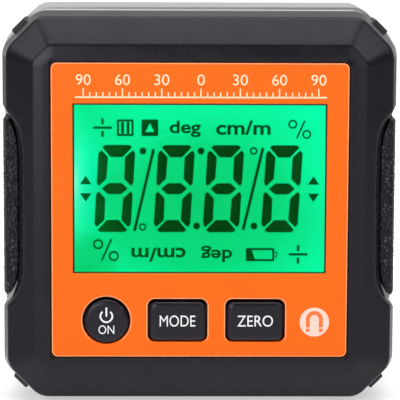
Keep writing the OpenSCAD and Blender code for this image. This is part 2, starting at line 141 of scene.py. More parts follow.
# Keys: a cap stands a little proud and low in its opening, on a flange and a stem
KEY_GAP = 0.34
KEY_R = 0.95
KEY_R_SHRINK = 0.4
KEY_R_LEAST = 0.3
FLANGE_OUT = 0.8
FLANGE_Y = WALL_BACK + 0.2
FLANGE_T = 0.8
STEM_R = 1.5
STEM_ROOT = 0.1
ROUND_GROW = 0.1
CAP_GROW = 0.06
CAP_SINK = 0.14
CAP_PROUD = 0.12
CAP_EDGE_RUN = 0.75
CAP_EDGE_DROP = 0.42
CAP_STEPS = 12

# Thickness of printed ink and of the display's dark shapes, from front to back
INK = (PANEL_Y - 0.02, PANEL_Y + 0.01)
INK_TOP = (PANEL_Y - 0.03, PANEL_Y - 0.01)
MARK = (GLASS_Y - 0.03, GLASS_Y + 0.01)
BORDER = (window_high.y - 0.04, window_high.y - 0.01)


# Angles, and flat outlines that are functions of how far they are grown
def quarter_turns(steps):
    """Angles from 0 to a right angle."""
    return [math.pi / 2 * k / steps for k in range(steps + 1)]


def full_turns(steps):
    """Angles round a circle."""
    return [math.tau * k / steps for k in range(steps)]


def soft_rect(cx, cz, w, h, r, steps=8):
    """Rectangle with round corners."""
    signs = ((1, 1), (-1, 1), (-1, -1), (1, -1))

    def outline(grow=0.0):
        points = []
        for i, (sx, sz) in enumerate(signs):
            for k in range(steps + 1):
                turn = math.radians(90 * (i + k / steps))
                points.append((cx + sx * (w / 2 - r) + (r + grow) * math.cos(turn),
                               cz + sz * (h / 2 - r) + (r + grow) * math.sin(turn)))
        return points
    return outline


def disc(cx, cz, r, steps=64):
    """Circle."""
    def outline(grow=0.0):
        return [(cx + (r + grow) * math.cos(t), cz + (r + grow) * math.sin(t)) for t in full_turns(steps)]
    return outline


def polygon(points):
    """Outline through fixed points, which doesn't grow."""
    return lambda grow=0.0: points


def bar(x0, z0, x1, z1, width):
    """Straight stroke between two points."""
    run = Vector((x1 - x0, z1 - z0))
    across = Vector((-run.y, run.x)).normalized() * width / 2
    a, b = Vector((x0, z0)), Vector((x1, z1))
    return polygon([tuple(p) for p in (a - across, b - across, b + across, a + across)])


def arc(cx, cz, r, start, end, steps=24):
    """Points along a round stretch, in degrees."""
    turns = [math.radians(start + (end - start) * k / steps) for k in range(steps + 1)]
    return [(cx + r * math.cos(t), cz + r * math.sin(t)) for t in turns]


def soft_path(corners, step, bend_steps=8):
    """Line through (across, depth, softness) corners, rounded at each and cut into short steps."""
    points = []
    for k, (across, depth, soft) in enumerate(corners):
        here = Vector((across, depth))
        stretch = [here]
        if soft:
            start = here + (Vector(corners[k - 1][:2]) - here).normalized() * soft
            end = here + (Vector(corners[k + 1][:2]) - here).normalized() * soft
            shares = [i / bend_steps for i in range(bend_steps + 1)]
            stretch = [start * (1 - t) ** 2 + here * 2 * t * (1 - t) + end * t * t for t in shares]
        if points:
            last = points[-1]
            count = max(1, round((stretch[0] - last).length / step))
            points += [last.lerp(stretch[0], i / count) for i in range(1, count)]
        points += stretch
    return points


# Mesh building: distances at which points merge, and the angle in degrees past which an edge is sharp
MERGE = 0.0004
CAD_MERGE = 0.002
CREASE = 35


def ring(bm, points, y):
    """Vertices of a flat outline at one depth."""
    return [bm.verts.new(Vector((x, y, MID_Z + z)) * MM) for x, z in points]


def skin(bm, rings):
    """Closed bands of faces between neighbouring rings."""
    for a, b in zip(rings, rings[1:]):
        for j in range(len(a)):
            k = (j + 1) % len(a)
            bm.faces.new((a[j], a[k], b[k], b[j]))


def fill(bm, loops):
    """Flat face inside the first loop, open where the others are."""
    edges = []
    for loop in loops:
        for a, b in zip(loop, loop[1:] + loop[:1]):
            edges.append(bm.edges.get((a, b)) or bm.edges.new((a, b)))
    bmesh.ops.triangle_fill(bm, use_beauty=True, use_dissolve=False, edges=edges)


def cap_ends(bm, loops):
    """One flat face on each end of a skin."""
    bm.faces.new(loops[0])
    bm.faces.new(loops[-1])


def slab(bm, outlines, front, back, edge=0.0, edge_steps=4):
    """Plate with holes and a rounded front edge: the first outline is its rim, the others are holes."""
    fronts, backs = [], []
    for side, outline in zip([-1] + [1] * len(outlines), outlines):
        turns = quarter_turns(edge_steps)[:-1] if edge else []
        rings = [ring(bm, outline(side * edge * (1 - math.sin(t))), front + edge * (1 - math.cos(t)))
                 for t in turns]
        rings += [ring(bm, outline(), y) for y in (front + edge, back)]
        skin(bm, rings)
        fronts.append(rings[0])
        backs.append(rings[-1])
    fill(bm, fronts)
    fill(bm, backs)


def tube(bm, x, z, outer, inner, front, back):
    """Round post along Y with a hole down it."""
    rims = [(outer, front), (outer, back), (inner, back), (inner, front), (outer, front)]
    skin(bm, [ring(bm, disc(x, z, r, 32)(), y) for r, y in rims])


def plain_mesh(name, bm):
    """Mesh of a finished bmesh, which is freed."""
    mesh = bpy.data.meshes.new(name)
    bm.to_mesh(mesh)
    bm.free()
    return mesh


def evaluated_mesh(obj):
    """Mesh of an object with its modifiers applied."""
    return bpy.data.meshes.new_from_object(obj.evaluated_get(bpy.context.evaluated_depsgraph_get()))


def link_object(name, data):
    """New object in the scene, at the origin."""
    obj = bpy.data.objects.new(name, data)
    bpy.context.scene.collection.objects.link(obj)
    return obj


def letters(bm, words, cx, cz, width, height, layer, turned=False, weight=0.0):
    """Plain lettering as thin raised shapes, fitted to a width, a height and a layer."""
    curve = bpy.data.curves.new("letters", "FONT")
    curve.body = words
    curve.extrude = 0.1
    curve.offset = weight
    text = link_object("letters", curve)
    mesh = evaluated_mesh(text)
    bpy.data.objects.remove(text)
    low = Vector([min(v.co[i] for v in mesh.vertices) for i in range(3)])
    high = Vector([max(v.co[i] for v in mesh.vertices) for i in range(3)])
    way = -1 if turned else 1
    for v in mesh.vertices:
        share = [(v.co[i] - low[i]) / (high[i] - low[i]) for i in range(3)]
        v.co = Vector((cx + way * (share[0] - 0.5) * width,
                       layer[1] + (layer[0] - layer[1]) * share[2],
                       MID_Z + cz + way * (share[1] - 0.5) * height)) * MM
    bm.from_mesh(mesh)


def settle(obj, look, body, replaced=()):
    """Gives a piece its finish, its body and the CAD nodes that it stands for."""
    obj.data.materials.clear()
    obj.data.materials.append(FINISHES[look])
    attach(obj, body)
    if replaced:
        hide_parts(*replaced)
    return obj


def repaint(obj, look, chosen):
    """Second finish on the faces of a piece that a test picks out."""
    obj.data.materials.append(FINISHES[look])
    for face in obj.data.polygons:
        if chosen(face):
            face.material_index = 1


def shade(mesh, crease):
    """Smooth shading, with sharp edges past the crease angle."""
    mesh.shade_smooth()
    mesh.set_sharp_from_angle(angle=math.radians(crease))


def round_edges(obj, width, segments, angle):
    """Rounds the edges that turn by more than an angle."""
    rounding = obj.modifiers.new("soft_edges", "BEVEL")
    rounding.width = width * MM
    rounding.segments = segments
    rounding.limit_method = "ANGLE"
    rounding.angle_limit = math.radians(angle)
    return rounding


def piece(name, bm, look, body, replaced=(), crease=CREASE):
    """Closes a mesh, shades it and settles it on its body."""
    bmesh.ops.remove_doubles(bm, verts=bm.verts, dist=MERGE * MM)
    bmesh.ops.recalc_face_normals(bm, faces=bm.faces)
    mesh = plain_mesh(name, bm)
    shade(mesh, crease)
    obj = link_object(name, mesh)
    obj.modifiers.new("flat_faces_stay_flat", "WEIGHTED_NORMAL").keep_sharp = True
    return settle(obj, look, body, replaced)


def engrave(obj, outline, front, back):
    """Cuts a flat shape into a piece, between two depths."""
    bm = bmesh.new()
    slab(bm, [outline], front, back)
    bmesh.ops.recalc_face_normals(bm, faces=bm.faces)
    cutter = link_object("cutter", plain_mesh("cutter", bm))
    cut = obj.modifiers.new("engraving", "BOOLEAN")
    cut.object = cutter
    cut.operation = "DIFFERENCE"
    engraved = evaluated_mesh(obj)
    obj.modifiers.clear()
    obj.data = engraved
    bpy.data.objects.remove(cutter)


def softened(name, node, edge, look, body, mark=None):
    """Copy of a CAD node with its triangles merged, a mark cut in and its edges rounded."""
    source = nodes[node].data.copy()
    if "custom_normal" in source.attributes:
        source.attributes.remove(source.attributes["custom_normal"])
    bm = bmesh.new()
    bm.from_mesh(source)
    bmesh.ops.remove_doubles(bm, verts=bm.verts, dist=CAD_MERGE * MM)
    bmesh.ops.dissolve_limit(bm, angle_limit=math.radians(1), verts=bm.verts, edges=bm.edges)
    obj = link_object(name, plain_mesh(name, bm))
    if mark:
        engrave(obj, *mark)
    shade(obj.data, CREASE)
    round_edges(obj, edge, 3, CREASE).harden_normals = True
    settle(obj, look, body, [node])


# Node trees, for finishes and for repeated forms
def add_node(tree, kind, inputs=None, **settings):
    """New node: an input takes a constant, another node's socket, or a list of sockets."""
    node = tree.nodes.new(kind)
    for key, value in settings.items():
        setattr(node, key, value)
    for key, value in (inputs or {}).items():
        if isinstance(value, (bpy.types.NodeSocket, list)):
            for socket in value if isinstance(value, list) else [value]:
                tree.links.new(socket, node.inputs[key])
        else:
            node.inputs[key].default_value = value
    return node


def output_of(tree, kind, inputs=None, socket=0, **settings):
    """One output of a new node, the first unless another is named."""
    return add_node(tree, kind, inputs, **settings).outputs[socket]


def calc(tree, operation, a, b):
    """Result of one step of arithmetic with two numbers."""
    return output_of(tree, "ShaderNodeMath", {0: a, 1: b}, operation=operation)


def calc_vector(tree, operation, a, b):
    """Result of one step of arithmetic with two vectors."""
    return output_of(tree, "ShaderNodeVectorMath", {0: a, 1: b}, operation=operation)


def between(tree, value, low, high, start=0.3, end=0.7):
    """Value that runs from low to high while another runs from start to end."""
    inputs = {"Value": value, "From Min": start, "From Max": end, "To Min": low, "To Max": high}
    return output_of(tree, "ShaderNodeMapRange", inputs)


def part_of(tree, vector, axis):
    """One axis of a vector."""
    return output_of(tree, "ShaderNodeSeparateXYZ", {"Vector": vector}, axis)


def ramp(tree, factor, stops):
    """Colour that runs through (place, colour) stops."""
    node = add_node(tree, "ShaderNodeValToRGB", {"Fac": factor})
    elements = node.color_ramp.elements
    while len(elements) < len(stops):
        elements.new(0.5)
    for element, (place, colour) in zip(elements, stops):
        element.position = place
        element.color = colour
    return node.outputs["Color"]


def noise_at(tree, place, size, detail=2.0, stretch=(1, 1, 1)):
    """Soft noise with features of one size, drawn out along the axes by stretch."""
    scaled = output_of(tree, "ShaderNodeMapping", {"Vector": place, "Scale": tuple(1 / s for s in stretch)})
    spots = {"Vector": scaled, "Scale": 1 / (size * MM), "Detail": detail}
    return output_of(tree, "ShaderNodeTexNoise", spots)


def bumps(tree, height, depth):
    """Normal of a surface that is raised by a height from 0 to 1."""
    return output_of(tree, "ShaderNodeBump", {"Height": height, "Strength": 1.0, "Distance": depth * MM})


def srgb(red, green, blue):
    """Screen colour from 0 to 255 as the linear colour that a shader takes."""
    def linear(c):
        return c / 12.92 if c <= 0.04045 else ((c + 0.055) / 1.055) ** 2.4
    return (linear(red / 255), linear(green / 255), linear(blue / 255), 1.0)


def grey(level):
    """Linear grey."""
    return (level, level, level, 1.0)


def shaded(colour, share):
    """The same colour, lighter or darker."""
    return tuple(min(1.0, c * share) for c in colour[:3]) + (1.0,)


def blank_finish(name, **shader):
    """Material with one shader; shader settings are constants on its own sockets."""
    material = bpy.data.materials.new(name)
    material.use_nodes = True
    tree = material.node_tree
    bsdf = tree.nodes["Principled BSDF"]
    for key, value in shader.items():
        bsdf.inputs[key.replace("_", " ")].default_value = value
    return material, tree, output_of(tree, "ShaderNodeTexCoord", socket="Object")


def feed(tree, **sockets):
    """Leads node outputs to the shader's inputs."""
    for key, socket in sockets.items():
        tree.links.new(socket, tree.nodes["Principled BSDF"].inputs[key.replace("_", " ")])


# Finishes
PEBBLES = "pebble_height"
ALONG_CELL = "along_cell"
ROUGH_SHARES = (0.82, 1.18)
POLISH_SHARE = 0.3
POLISH_RUN = 0.5
BAND_START = 0.78
BAND_SOFT = 0.005
ANY_DEPTH = 50
BRUSHED = (40, 1, 40)


def finish(name, colour, rough, cloud=5.0, tint=0.12, grain=0.12, depth=0.003, stretch=(1, 1, 1),
           polished_from=None, **shader):
    """Moulded, printed or plated finish: cloudy colour and gloss under a fine raised grain.

    Behind the depth polished_from, the surface is smoother."""
    material, tree, place = blank_finish(name, **shader)
    clouds = noise_at(tree, place, cloud, 3.0, stretch)
    fine = noise_at(tree, place, grain, 2.0, stretch)
    stops = [(0.3, shaded(colour, 1 - tint)), (0.7, shaded(colour, 1 + tint))]
    smooth, dull = [rough * share for share in ROUGH_SHARES]
    gloss = between(tree, calc(tree, "ADD", clouds, fine), smooth, dull, 0.7, 1.3)
    if polished_from is not None:
        start, end = polished_from * MM, (polished_from + POLISH_RUN) * MM
        share = between(tree, part_of(tree, place, "Y"), 1.0, POLISH_SHARE, start, end)
        gloss = calc(tree, "MULTIPLY", gloss, share)
    feed(tree, Base_Color=ramp(tree, clouds, stops), Roughness=gloss, Normal=bumps(tree, fine, depth))
    return material


def grip_rubber_finish():
    """Dull rubber: painted shade in the creases between the pebbles and a painted highlight on their crowns,
    which are also smoother.
    """
    material, tree, place = blank_finish("grip_rubber", Specular_IOR_Level=0.3,
                                         Specular_Tint=(0.86, 0.83, 1.0, 1.0))
    pebbles = output_of(tree, "ShaderNodeAttribute", socket="Fac", attribute_name=PEBBLES)
    dust = noise_at(tree, place, 0.12)
    patches = noise_at(tree, place, 1.6)
    wear = between(tree, calc(tree, "ADD", dust, patches), -0.3, 0.25, 0.75, 1.25)
    # Painted shade in the creases, running to a painted highlight on the crowns, shifted by random patchy
    # tone
    stops = [(0.25, srgb(8, 8, 9)), (0.7, srgb(19, 18, 21)), (1.0, srgb(74, 73, 78))]
    feed(tree, Base_Color=ramp(tree, calc(tree, "ADD", pebbles, wear), stops),
         Roughness=between(tree, pebbles, 0.6, 0.32), Normal=bumps(tree, dust, 0.03))
    return material


def display_spot(tree, place, x, z, reach_x, reach_z):
    """Soft spot on the display, from 1 at its centre to 0 at its reach, set from the window's middle."""
    centre = (x, GLASS_Y, WINDOW[1] + MID_Z + z)
    reach = (reach_x, ANY_DEPTH, reach_z)
    moved = calc_vector(tree, "ADD", place, tuple(-c * MM for c in centre))
    scaled = calc_vector(tree, "MULTIPLY", moved, tuple(1 / (r * MM) for r in reach))
    return output_of(tree, "ShaderNodeTexGradient", {"Vector": scaled}, "Fac", gradient_type="SPHERICAL")


def display_glow_finish():
    """Lit green glass: calmer in the middle and the left corners, bright along its edges and by the lamps."""
    material, tree, place = blank_finish("display_glow", Base_Color=srgb(0, 20, 10), Roughness=0.35,
                                         Emission_Strength=1.0, Specular_IOR_Level=0.0)
    left, right = WINDOW[0] - WINDOW[2] / 2, WINDOW[0] + WINDOW[2] / 2
    wash = display_spot(tree, place, 0, -3, 27, 19)
    low_corner = display_spot(tree, place, left + 1.6, -13.2, 5.5, 7.5)
    high_corner = display_spot(tree, place, left + 2.1, 12.3, 9, 8)
    for share in (between(tree, noise_at(tree, place, 9.0), -0.05, 0.05),
                  between(tree, low_corner, 0.0, 0.8, 0.0, 1.0),
                  between(tree, high_corner, 0.0, 0.38, 0.0, 1.0)):
        wash = calc(tree, "ADD", wash, share)
    lit = ramp(tree, wash, [(0.0, srgb(0, 255, 172)), (0.24, srgb(0, 244, 156)),
                            (0.52, srgb(0, 219, 123)), (1.0, srgb(0, 206, 110))])
    core = ramp(tree, display_spot(tree, place, left - 0.1, 0.8, 3.1, 12), [
        (0.05, grey(0)), (0.45, srgb(28, 8, 20)), (0.7, srgb(70, 15, 42)), (0.95, srgb(146, 36, 82))])
    halo = ramp(tree, display_spot(tree, place, left - 0.1, 0.6, 5.8, 10.5), [
        (0.0, grey(0)), (1.0, srgb(0, 97, 138))])
    far_lamp = ramp(tree, display_spot(tree, place, right + 0.4, 1, 5.5, 13), [
        (0.1, grey(0)), (0.9, srgb(0, 70, 66))])
    for glow in (core, halo, far_lamp):
        lit = calc_vector(tree, "ADD", lit, glow)
    feed(tree, Emission_Color=lit)
    return material


def display_mark_finish():
    """Dark segments, a little paler towards the lamps at the sides."""
    material, tree, place = blank_finish("display_mark", Base_Color=srgb(0, 14, 2), Roughness=0.5,
                                         Emission_Strength=1.0, Specular_IOR_Level=0.0)
    calm = display_spot(tree, place, 3, 0, 22, 18)
    wash = calc(tree, "ADD", calm, between(tree, noise_at(tree, place, 2.5), -0.08, 0.08))
    stops = [(0.02, srgb(0, 98, 26)), (0.22, srgb(0, 70, 6)), (0.7, srgb(0, 56, 2))]
    feed(tree, Emission_Color=ramp(tree, wash, stops))
    return material


def cell_jacket_finish():
    """Printed sleeve with a plain pale band at the nub end."""
    material, tree, place = blank_finish("cell_jacket", Coat_Weight=0.4)
    along = output_of(tree, "ShaderNodeAttribute", socket="Fac", attribute_name=ALONG_CELL)
    green, pale = srgb(38, 84, 62), srgb(196, 199, 196)
    stops = [(0.0, green), (BAND_START, green), (BAND_START + BAND_SOFT, pale), (1.0, pale)]
    scuffs = noise_at(tree, place, 0.5, 3.0, (4, 1, 1))
    feed(tree, Base_Color=ramp(tree, along, stops), Roughness=between(tree, scuffs, 0.22, 0.4),
         Normal=bumps(tree, scuffs, 0.002))
    return material


def board_finish():
    """Solder resist over raised tracks."""
    material, tree, place = blank_finish("board_laminate")
    tracks = {"Vector": place, "Scale": 1 / (1.6 * MM)}
    web = output_of(tree, "ShaderNodeTexVoronoi", tracks, "Distance", distance="MANHATTAN")
    stops = [(0.3, srgb(12, 84, 44)), (0.36, srgb(30, 112, 60))]
    gloss = between(tree, noise_at(tree, place, 3.0), 0.25, 0.45)
    feed(tree, Base_Color=ramp(tree, web, stops), Roughness=gloss, Normal=bumps(tree, web, 0.02))
    return material


# Settings of the plain finishes, and one finish for each material of the gauge
PRINTED = dict(rough=0.5, grain=0.06, depth=0.001)
LOOKS = {
    "case_plastic": dict(colour=srgb(20, 19, 23), rough=0.27, cloud=7, tint=0.1, grain=0.35, depth=0.0007,
                         polished_from=RIM_Y - 0.2, Specular_IOR_Level=0.29,
                         Specular_Tint=(0.92, 0.88, 1.0, 1.0)),
    "rear_plastic": dict(colour=srgb(29, 29, 32), rough=0.48, cloud=6, grain=0.22, depth=0.012,
                         Specular_IOR_Level=0.35),
    "orange_panel": dict(colour=srgb(254, 108, 23), rough=0.42, cloud=9, tint=0.02, grain=0.1, depth=0.001,
                         Specular_IOR_Level=0.12),
    # Pale peach: a painted highlight on the panel's rounded edge
    "orange_edge_highlight": dict(colour=srgb(255, 178, 130), rough=0.4, cloud=3, tint=0.04, grain=0.1, depth=0.001,
                        Specular_IOR_Level=0.3),
    "key_plastic": dict(colour=srgb(16, 14, 19), rough=0.27, cloud=4, tint=0.1, grain=0.1, depth=0.0018,
                        Specular_IOR_Level=0.38, Specular_Tint=(0.9, 0.86, 1.0, 1.0)),
    # Near black: print at the window's border and painted shade along the edges of its opening
    "black_print_and_shade": dict(colour=srgb(14, 20, 14), rough=0.6, cloud=2, tint=0.2, grain=0.08, depth=0.001),
    "ink_pale": dict(PRINTED, colour=srgb(255, 214, 198), cloud=1.2, tint=0.03),
    "ink_cream": dict(PRINTED, colour=srgb(255, 226, 186), cloud=1.2, tint=0.03),
    "ink_orange": dict(PRINTED, colour=srgb(252, 118, 44), cloud=1.2, tint=0.04),
    "ink_white": dict(PRINTED, colour=srgb(236, 240, 242), cloud=1.0, tint=0.04),
    "clear_window": dict(colour=(0.97, 1.0, 0.98, 1), rough=0.012, tint=0.01, grain=3.0, depth=0.0,
                         Transmission_Weight=1.0, IOR=1.08),
    "black_foam": dict(colour=srgb(22, 24, 22), rough=0.9, grain=0.2, depth=0.03),
    "light_guide": dict(colour=srgb(200, 255, 225), rough=0.15, grain=0.4, Transmission_Weight=0.6, IOR=1.49),
    "white_plastic": dict(colour=srgb(226, 226, 220), rough=0.45, tint=0.03),
    "contact_rubber": dict(colour=srgb(86, 86, 92), rough=0.7, grain=0.05, stretch=(1, 20, 20)),
    "led_package": dict(colour=srgb(238, 234, 190), rough=0.3, cloud=1.0, tint=0.05),
    "chip_resin": dict(colour=srgb(30, 30, 32), rough=0.55, cloud=2.0, grain=0.08, depth=0.006),
    "screw_steel": dict(colour=srgb(150, 151, 154), rough=0.34, cloud=1.0, grain=0.08, Metallic=1.0),
    # Dark grey steel: painted shade in the screws' cross slots
    "screw_slot_shade": dict(colour=srgb(58, 58, 60), rough=0.6, cloud=0.8, grain=0.1, depth=0.004, Metallic=0.5),
    "switch_plastic": dict(colour=srgb(46, 46, 48), rough=0.5),
    "plunger_plastic": dict(colour=srgb(190, 176, 150), rough=0.45),
    "pad_rubber": dict(colour=srgb(30, 30, 33), rough=0.5, cloud=2.0, grain=0.1, depth=0.006),
    "frame_aluminium": dict(colour=srgb(182, 180, 179), rough=0.4, cloud=0.7, tint=0.07, grain=0.2,
                            stretch=BRUSHED, Metallic=0.88),
    "magnet_plating": dict(colour=srgb(205, 204, 200), rough=0.2, cloud=1.5, tint=0.05, Metallic=1.0),
    "contact_steel": dict(colour=srgb(198, 197, 192), rough=0.28, cloud=1.5, tint=0.06, Metallic=1.0),
}
FINISHES = {name: finish(name, **look) for name, look in LOOKS.items()}
FINISHES["grip_rubber"] = grip_rubber_finish()
FINISHES["display_glass"] = display_glow_finish()
FINISHES["display_mark"] = display_mark_finish()
FINISHES["cell_jacket"] = cell_jacket_finish()
FINISHES["board_laminate"] = board_finish()


# Front case: one moulded skin with scalloped sides, panel recess, openings, posts and bosses
def oct_outline(half_x, half_z, diag, r):
    """Eight-sided outline with round corners, always with the same number of points."""
    sides = [half_x, diag, half_z, diag] * 2
    eighth = math.pi / 4
    corners = []
    for i in range(8):
        a = sides[i] - r
        b = (sides[(i + 1) % 8] - r - a * math.cos(eighth)) / math.sin(eighth)
        cos, sin = math.cos(math.radians(45 * i)), math.sin(math.radians(45 * i))
        corners.append(Vector((a * cos - b * sin, a * sin + b * cos)))
    points = []
    for i in range(8):
        points += [Vector(p) for p in arc(*corners[i], r, 45 * i, 45 * (i + 1), CORNER_STEPS)]
        following = (i + 1) % 8
        run = corners[following] - corners[i]
        count = SIDE_STEPS[following]
        points += [points[-1] + run * (k / count) for k in range(1, count)]
    return points


def soft_min(a, b, soft):
    """The smaller of two values, rounded where they meet."""
    overlap = max(soft - abs(a - b), 0) / soft
    return min(a, b) - overlap * overlap * soft / 4


def scallop_floor(z, y):
    """Half width of the case at the floor of its scallops, which lean out from the bevel to the grips."""
    share = min(1, max(0, (y - LEAN_Y) / (grip_low.y - LEAN_Y)))
    lean = SCALLOP_LEAN * share * share * (3 - 2 * share)
    return cad_high.x / MM - SCALLOP_DEPTH * (1 - abs(z / SCALLOP_HALF) ** SCALLOP_POWER) + lean


def scalloped(points, y, wall=0.0):
    """The same outline with both sides drawn in to the scallops."""
    drawn_in = []
    for x, z in points:
        half = soft_min(abs(x), scallop_floor(z, y) - wall, SCALLOP_SOFT)
        drawn_in.append((math.copysign(half, x), z))
    return drawn_in


def case_outline(out, y):
    """Case outline grown outwards from the edge of its flat face, at one depth."""
    inset = RIM_OUT - out
    r = CORNER_R + CORNER_GROWTH * out
    return scalloped(oct_outline(RIM_X - inset, RIM_Z - inset, RIM_DIAG - inset, r), y)


def key_place(name):
    """Middle and half sizes of a key's cap."""
    low, high = extent(name + "_key")
    middle, half = (low + high) / 2, (high - low) / 2
    return middle.x, middle.z - MID_Z, half.x - FLANGE_OUT, half.z - FLANGE_OUT


def key_outline(name, inset=0.0, sink=0.0):
    """Outline of a key, drawn in and lowered."""
    x, z, half_w, half_h = key_place(name)
    z -= sink
    if name == "power":
        return disc(x, z, half_w + ROUND_GROW - inset)
    r = max(KEY_R - KEY_R_SHRINK * inset, KEY_R_LEAST)
    return soft_rect(x, z, 2 * (half_w - inset), 2 * (half_h - inset), r)


def key_openings():
    """Openings for the three keys, in the panel and in the case behind it."""
    return [key_outline(name, -KEY_GAP) for name in KEY_WORDS]


def case_shell():
    """The whole moulding as one closed skin, with the posts and bosses set into it."""
    bm = bmesh.new()
    bevel_mid = (FACE_Y + LEAD_DROP + BEVEL_Y) / 2 - BEVEL_BULGE
    profile = [(FACE_RING, FACE_Y, 0), (LEAD_IN, FACE_Y, 0.5), (0, FACE_Y + LEAD_DROP, 0.3),
               (BEVEL_RUN / 2, bevel_mid, 1.5), (BEVEL_RUN, BEVEL_Y, 0.3), (RIM_OUT, RIM_Y, 0.4),
               (RIM_OUT, RING_Y, 0)]
    outer = [ring(bm, case_outline(out, y), y) for out, y in soft_path(profile, PROFILE_STEP)]
    cavity = scalloped(oct_outline(*CAVITY), LEAN_Y, SCALLOP_WALL)
    inner = [ring(bm, cavity, y) for y in (RING_Y, WALL_BACK)]
    skin(bm, outer + inner)
    recess_w = PANEL_W + 2 * PANEL_GAP
    recess = soft_rect(0, 0, recess_w, recess_w, PANEL_R + PANEL_GAP)
    lip = [(LIP, FACE_Y, 0), (0, FACE_Y, LIP / 2), (0, WALL_Y, 0)]
    lips = [ring(bm, recess(grow), y) for grow, y in soft_path(lip, LIP_STEP)]
    skin(bm, lips)
    fill(bm, [outer[0], lips[0]])
    fronts, backs = [lips[-1]], [inner[-1]]
    window_w = window_high.x - window_low.x + 2 * WINDOW_GAP
    window_h = window_high.z - window_low.z + 2 * WINDOW_GAP
    for outline in [soft_rect(*WINDOW[:2], window_w, window_h, WINDOW_R)] + key_openings():
        pair = [ring(bm, outline(), y) for y in (WALL_Y, WALL_BACK)]
        skin(bm, pair)
        fronts.append(pair[0])
        backs.append(pair[1])
    fill(bm, fronts)
    fill(bm, backs)
    for x, z in POSTS:
        tube(bm, x, z, POST_R, POST_HOLE_R, WALL_BACK - POST_ROOT, BOARD_Y)
    for sx in (-1, 1):
        for sz in (-1, 1):
            tube(bm, sx * BOSS_AT, sz * BOSS_AT, BOSS_R, BOSS_HOLE_R, WALL_BACK - POST_ROOT, BOSS_END)
    piece("case_shell", bm, "case_plastic", GAUGE, ["front_case"])


# Orange panel with its openings and print
# Painted highlight on the panel's edge: which faces take it, and where it is left out
EDGE_FACING = (0.6, 0.985)
UP_FACING = 0.15
WINDOW_MARGIN = 0.5
KEY_MARGIN = 1


def panel_plate():
    """Panel whose rounded edge has a painted highlight in a paler colour, but not at its window or below a
    key.
    """
    bm = bmesh.new()
    outlines = [soft_rect(0, 0, PANEL_W, PANEL_W, PANEL_R), soft_rect(*WINDOW, WINDOW_R)] + key_openings()
    slab(bm, outlines, PANEL_Y, WALL_Y, edge=PANEL_EDGE)
    plate = piece("panel_plate", bm, "orange_panel", GAUGE, ["face_panel"])
    half_w, half_h = WINDOW[2] / 2, WINDOW[3] / 2

    # Faces that take the painted highlight
    def pale(face):
        x, z = face.center.x / MM - WINDOW[0], face.center.z / MM - MID_Z - WINDOW[1]
        by_window = abs(x) < half_w + WINDOW_MARGIN and abs(z) < half_h + WINDOW_MARGIN
        by_keys = z < -half_h - KEY_MARGIN and abs(x) < PANEL_W / 2 - KEY_MARGIN
        on_edge = EDGE_FACING[0] < -face.normal.y < EDGE_FACING[1]
        return on_edge and not by_window and not (by_keys and face.normal.z > UP_FACING)

    repaint(plate, "orange_edge_highlight", pale)


# Angle scale at the head of the panel
SCALE_MID = 0.13
SCALE_HALF = 18.83
SCALE_Z = 17.17
SCALE_REACH = 17.6
RULE_T = 0.24
TICK_STEP_DEG = 5
LONG_TICK_DEG = 30
TICK_W = 0.2
TICK_H = 0.75
LONG_SHARE = 0.75
NUMBER_LIFT = 2.62
NUMBER_W = 1.12
NUMBER_H = 1.62


def printed_scale():
    """Line under the head of the panel, and the plain numbers of an angle scale above it."""
    bm = bmesh.new()
    slab(bm, [bar(SCALE_MID - SCALE_HALF, SCALE_Z, SCALE_MID + SCALE_HALF, SCALE_Z, RULE_T)], *INK)
    for angle in range(-90, 91, LONG_TICK_DEG):
        digits = str(abs(angle))
        x = SCALE_MID + SCALE_REACH * angle / 90
        letters(bm, digits, x, SCALE_Z + NUMBER_LIFT, NUMBER_W * len(digits), NUMBER_H, INK)
    piece("scale_numbers", bm, "ink_cream", GAUGE)


# Magnet sign beside the keys
MAGNET_SIGN = (17.43, -16.95)
MAGNET_DISC_R = 2.23
BOW_OUT = 1.28
BOW_IN = 0.7
BEND_LIFT = 0.42
LEG_DROP = 0.82
FOOT_GAP = 0.16
FOOT_DROP = 1.48


def magnet_sign():
    """Pale disc with a horseshoe magnet on it."""
    x, z = MAGNET_SIGN
    bm = bmesh.new()
    slab(bm, [disc(x, z, MAGNET_DISC_R)], *INK)
    piece("magnet_disc", bm, "ink_pale", GAUGE)
    bm = bmesh.new()
    bend_z, leg_z = z + BEND_LIFT, z - LEG_DROP
    bow = arc(x, bend_z, BOW_OUT, 0, 180) + [(x - BOW_OUT, leg_z), (x - BOW_IN, leg_z)]
    bow += arc(x, bend_z, BOW_IN, 180, 0) + [(x + BOW_IN, leg_z), (x + BOW_OUT, leg_z)]
    slab(bm, [polygon(bow)], *INK_TOP)
    for side in (-1, 1):
        foot_x = x + side * (BOW_OUT + BOW_IN) / 2
        slab(bm, [bar(foot_x, leg_z - FOOT_GAP, foot_x, z - FOOT_DROP, BOW_OUT - BOW_IN)], *INK_TOP)
    piece("magnet_horseshoe", bm, "ink_orange", GAUGE)


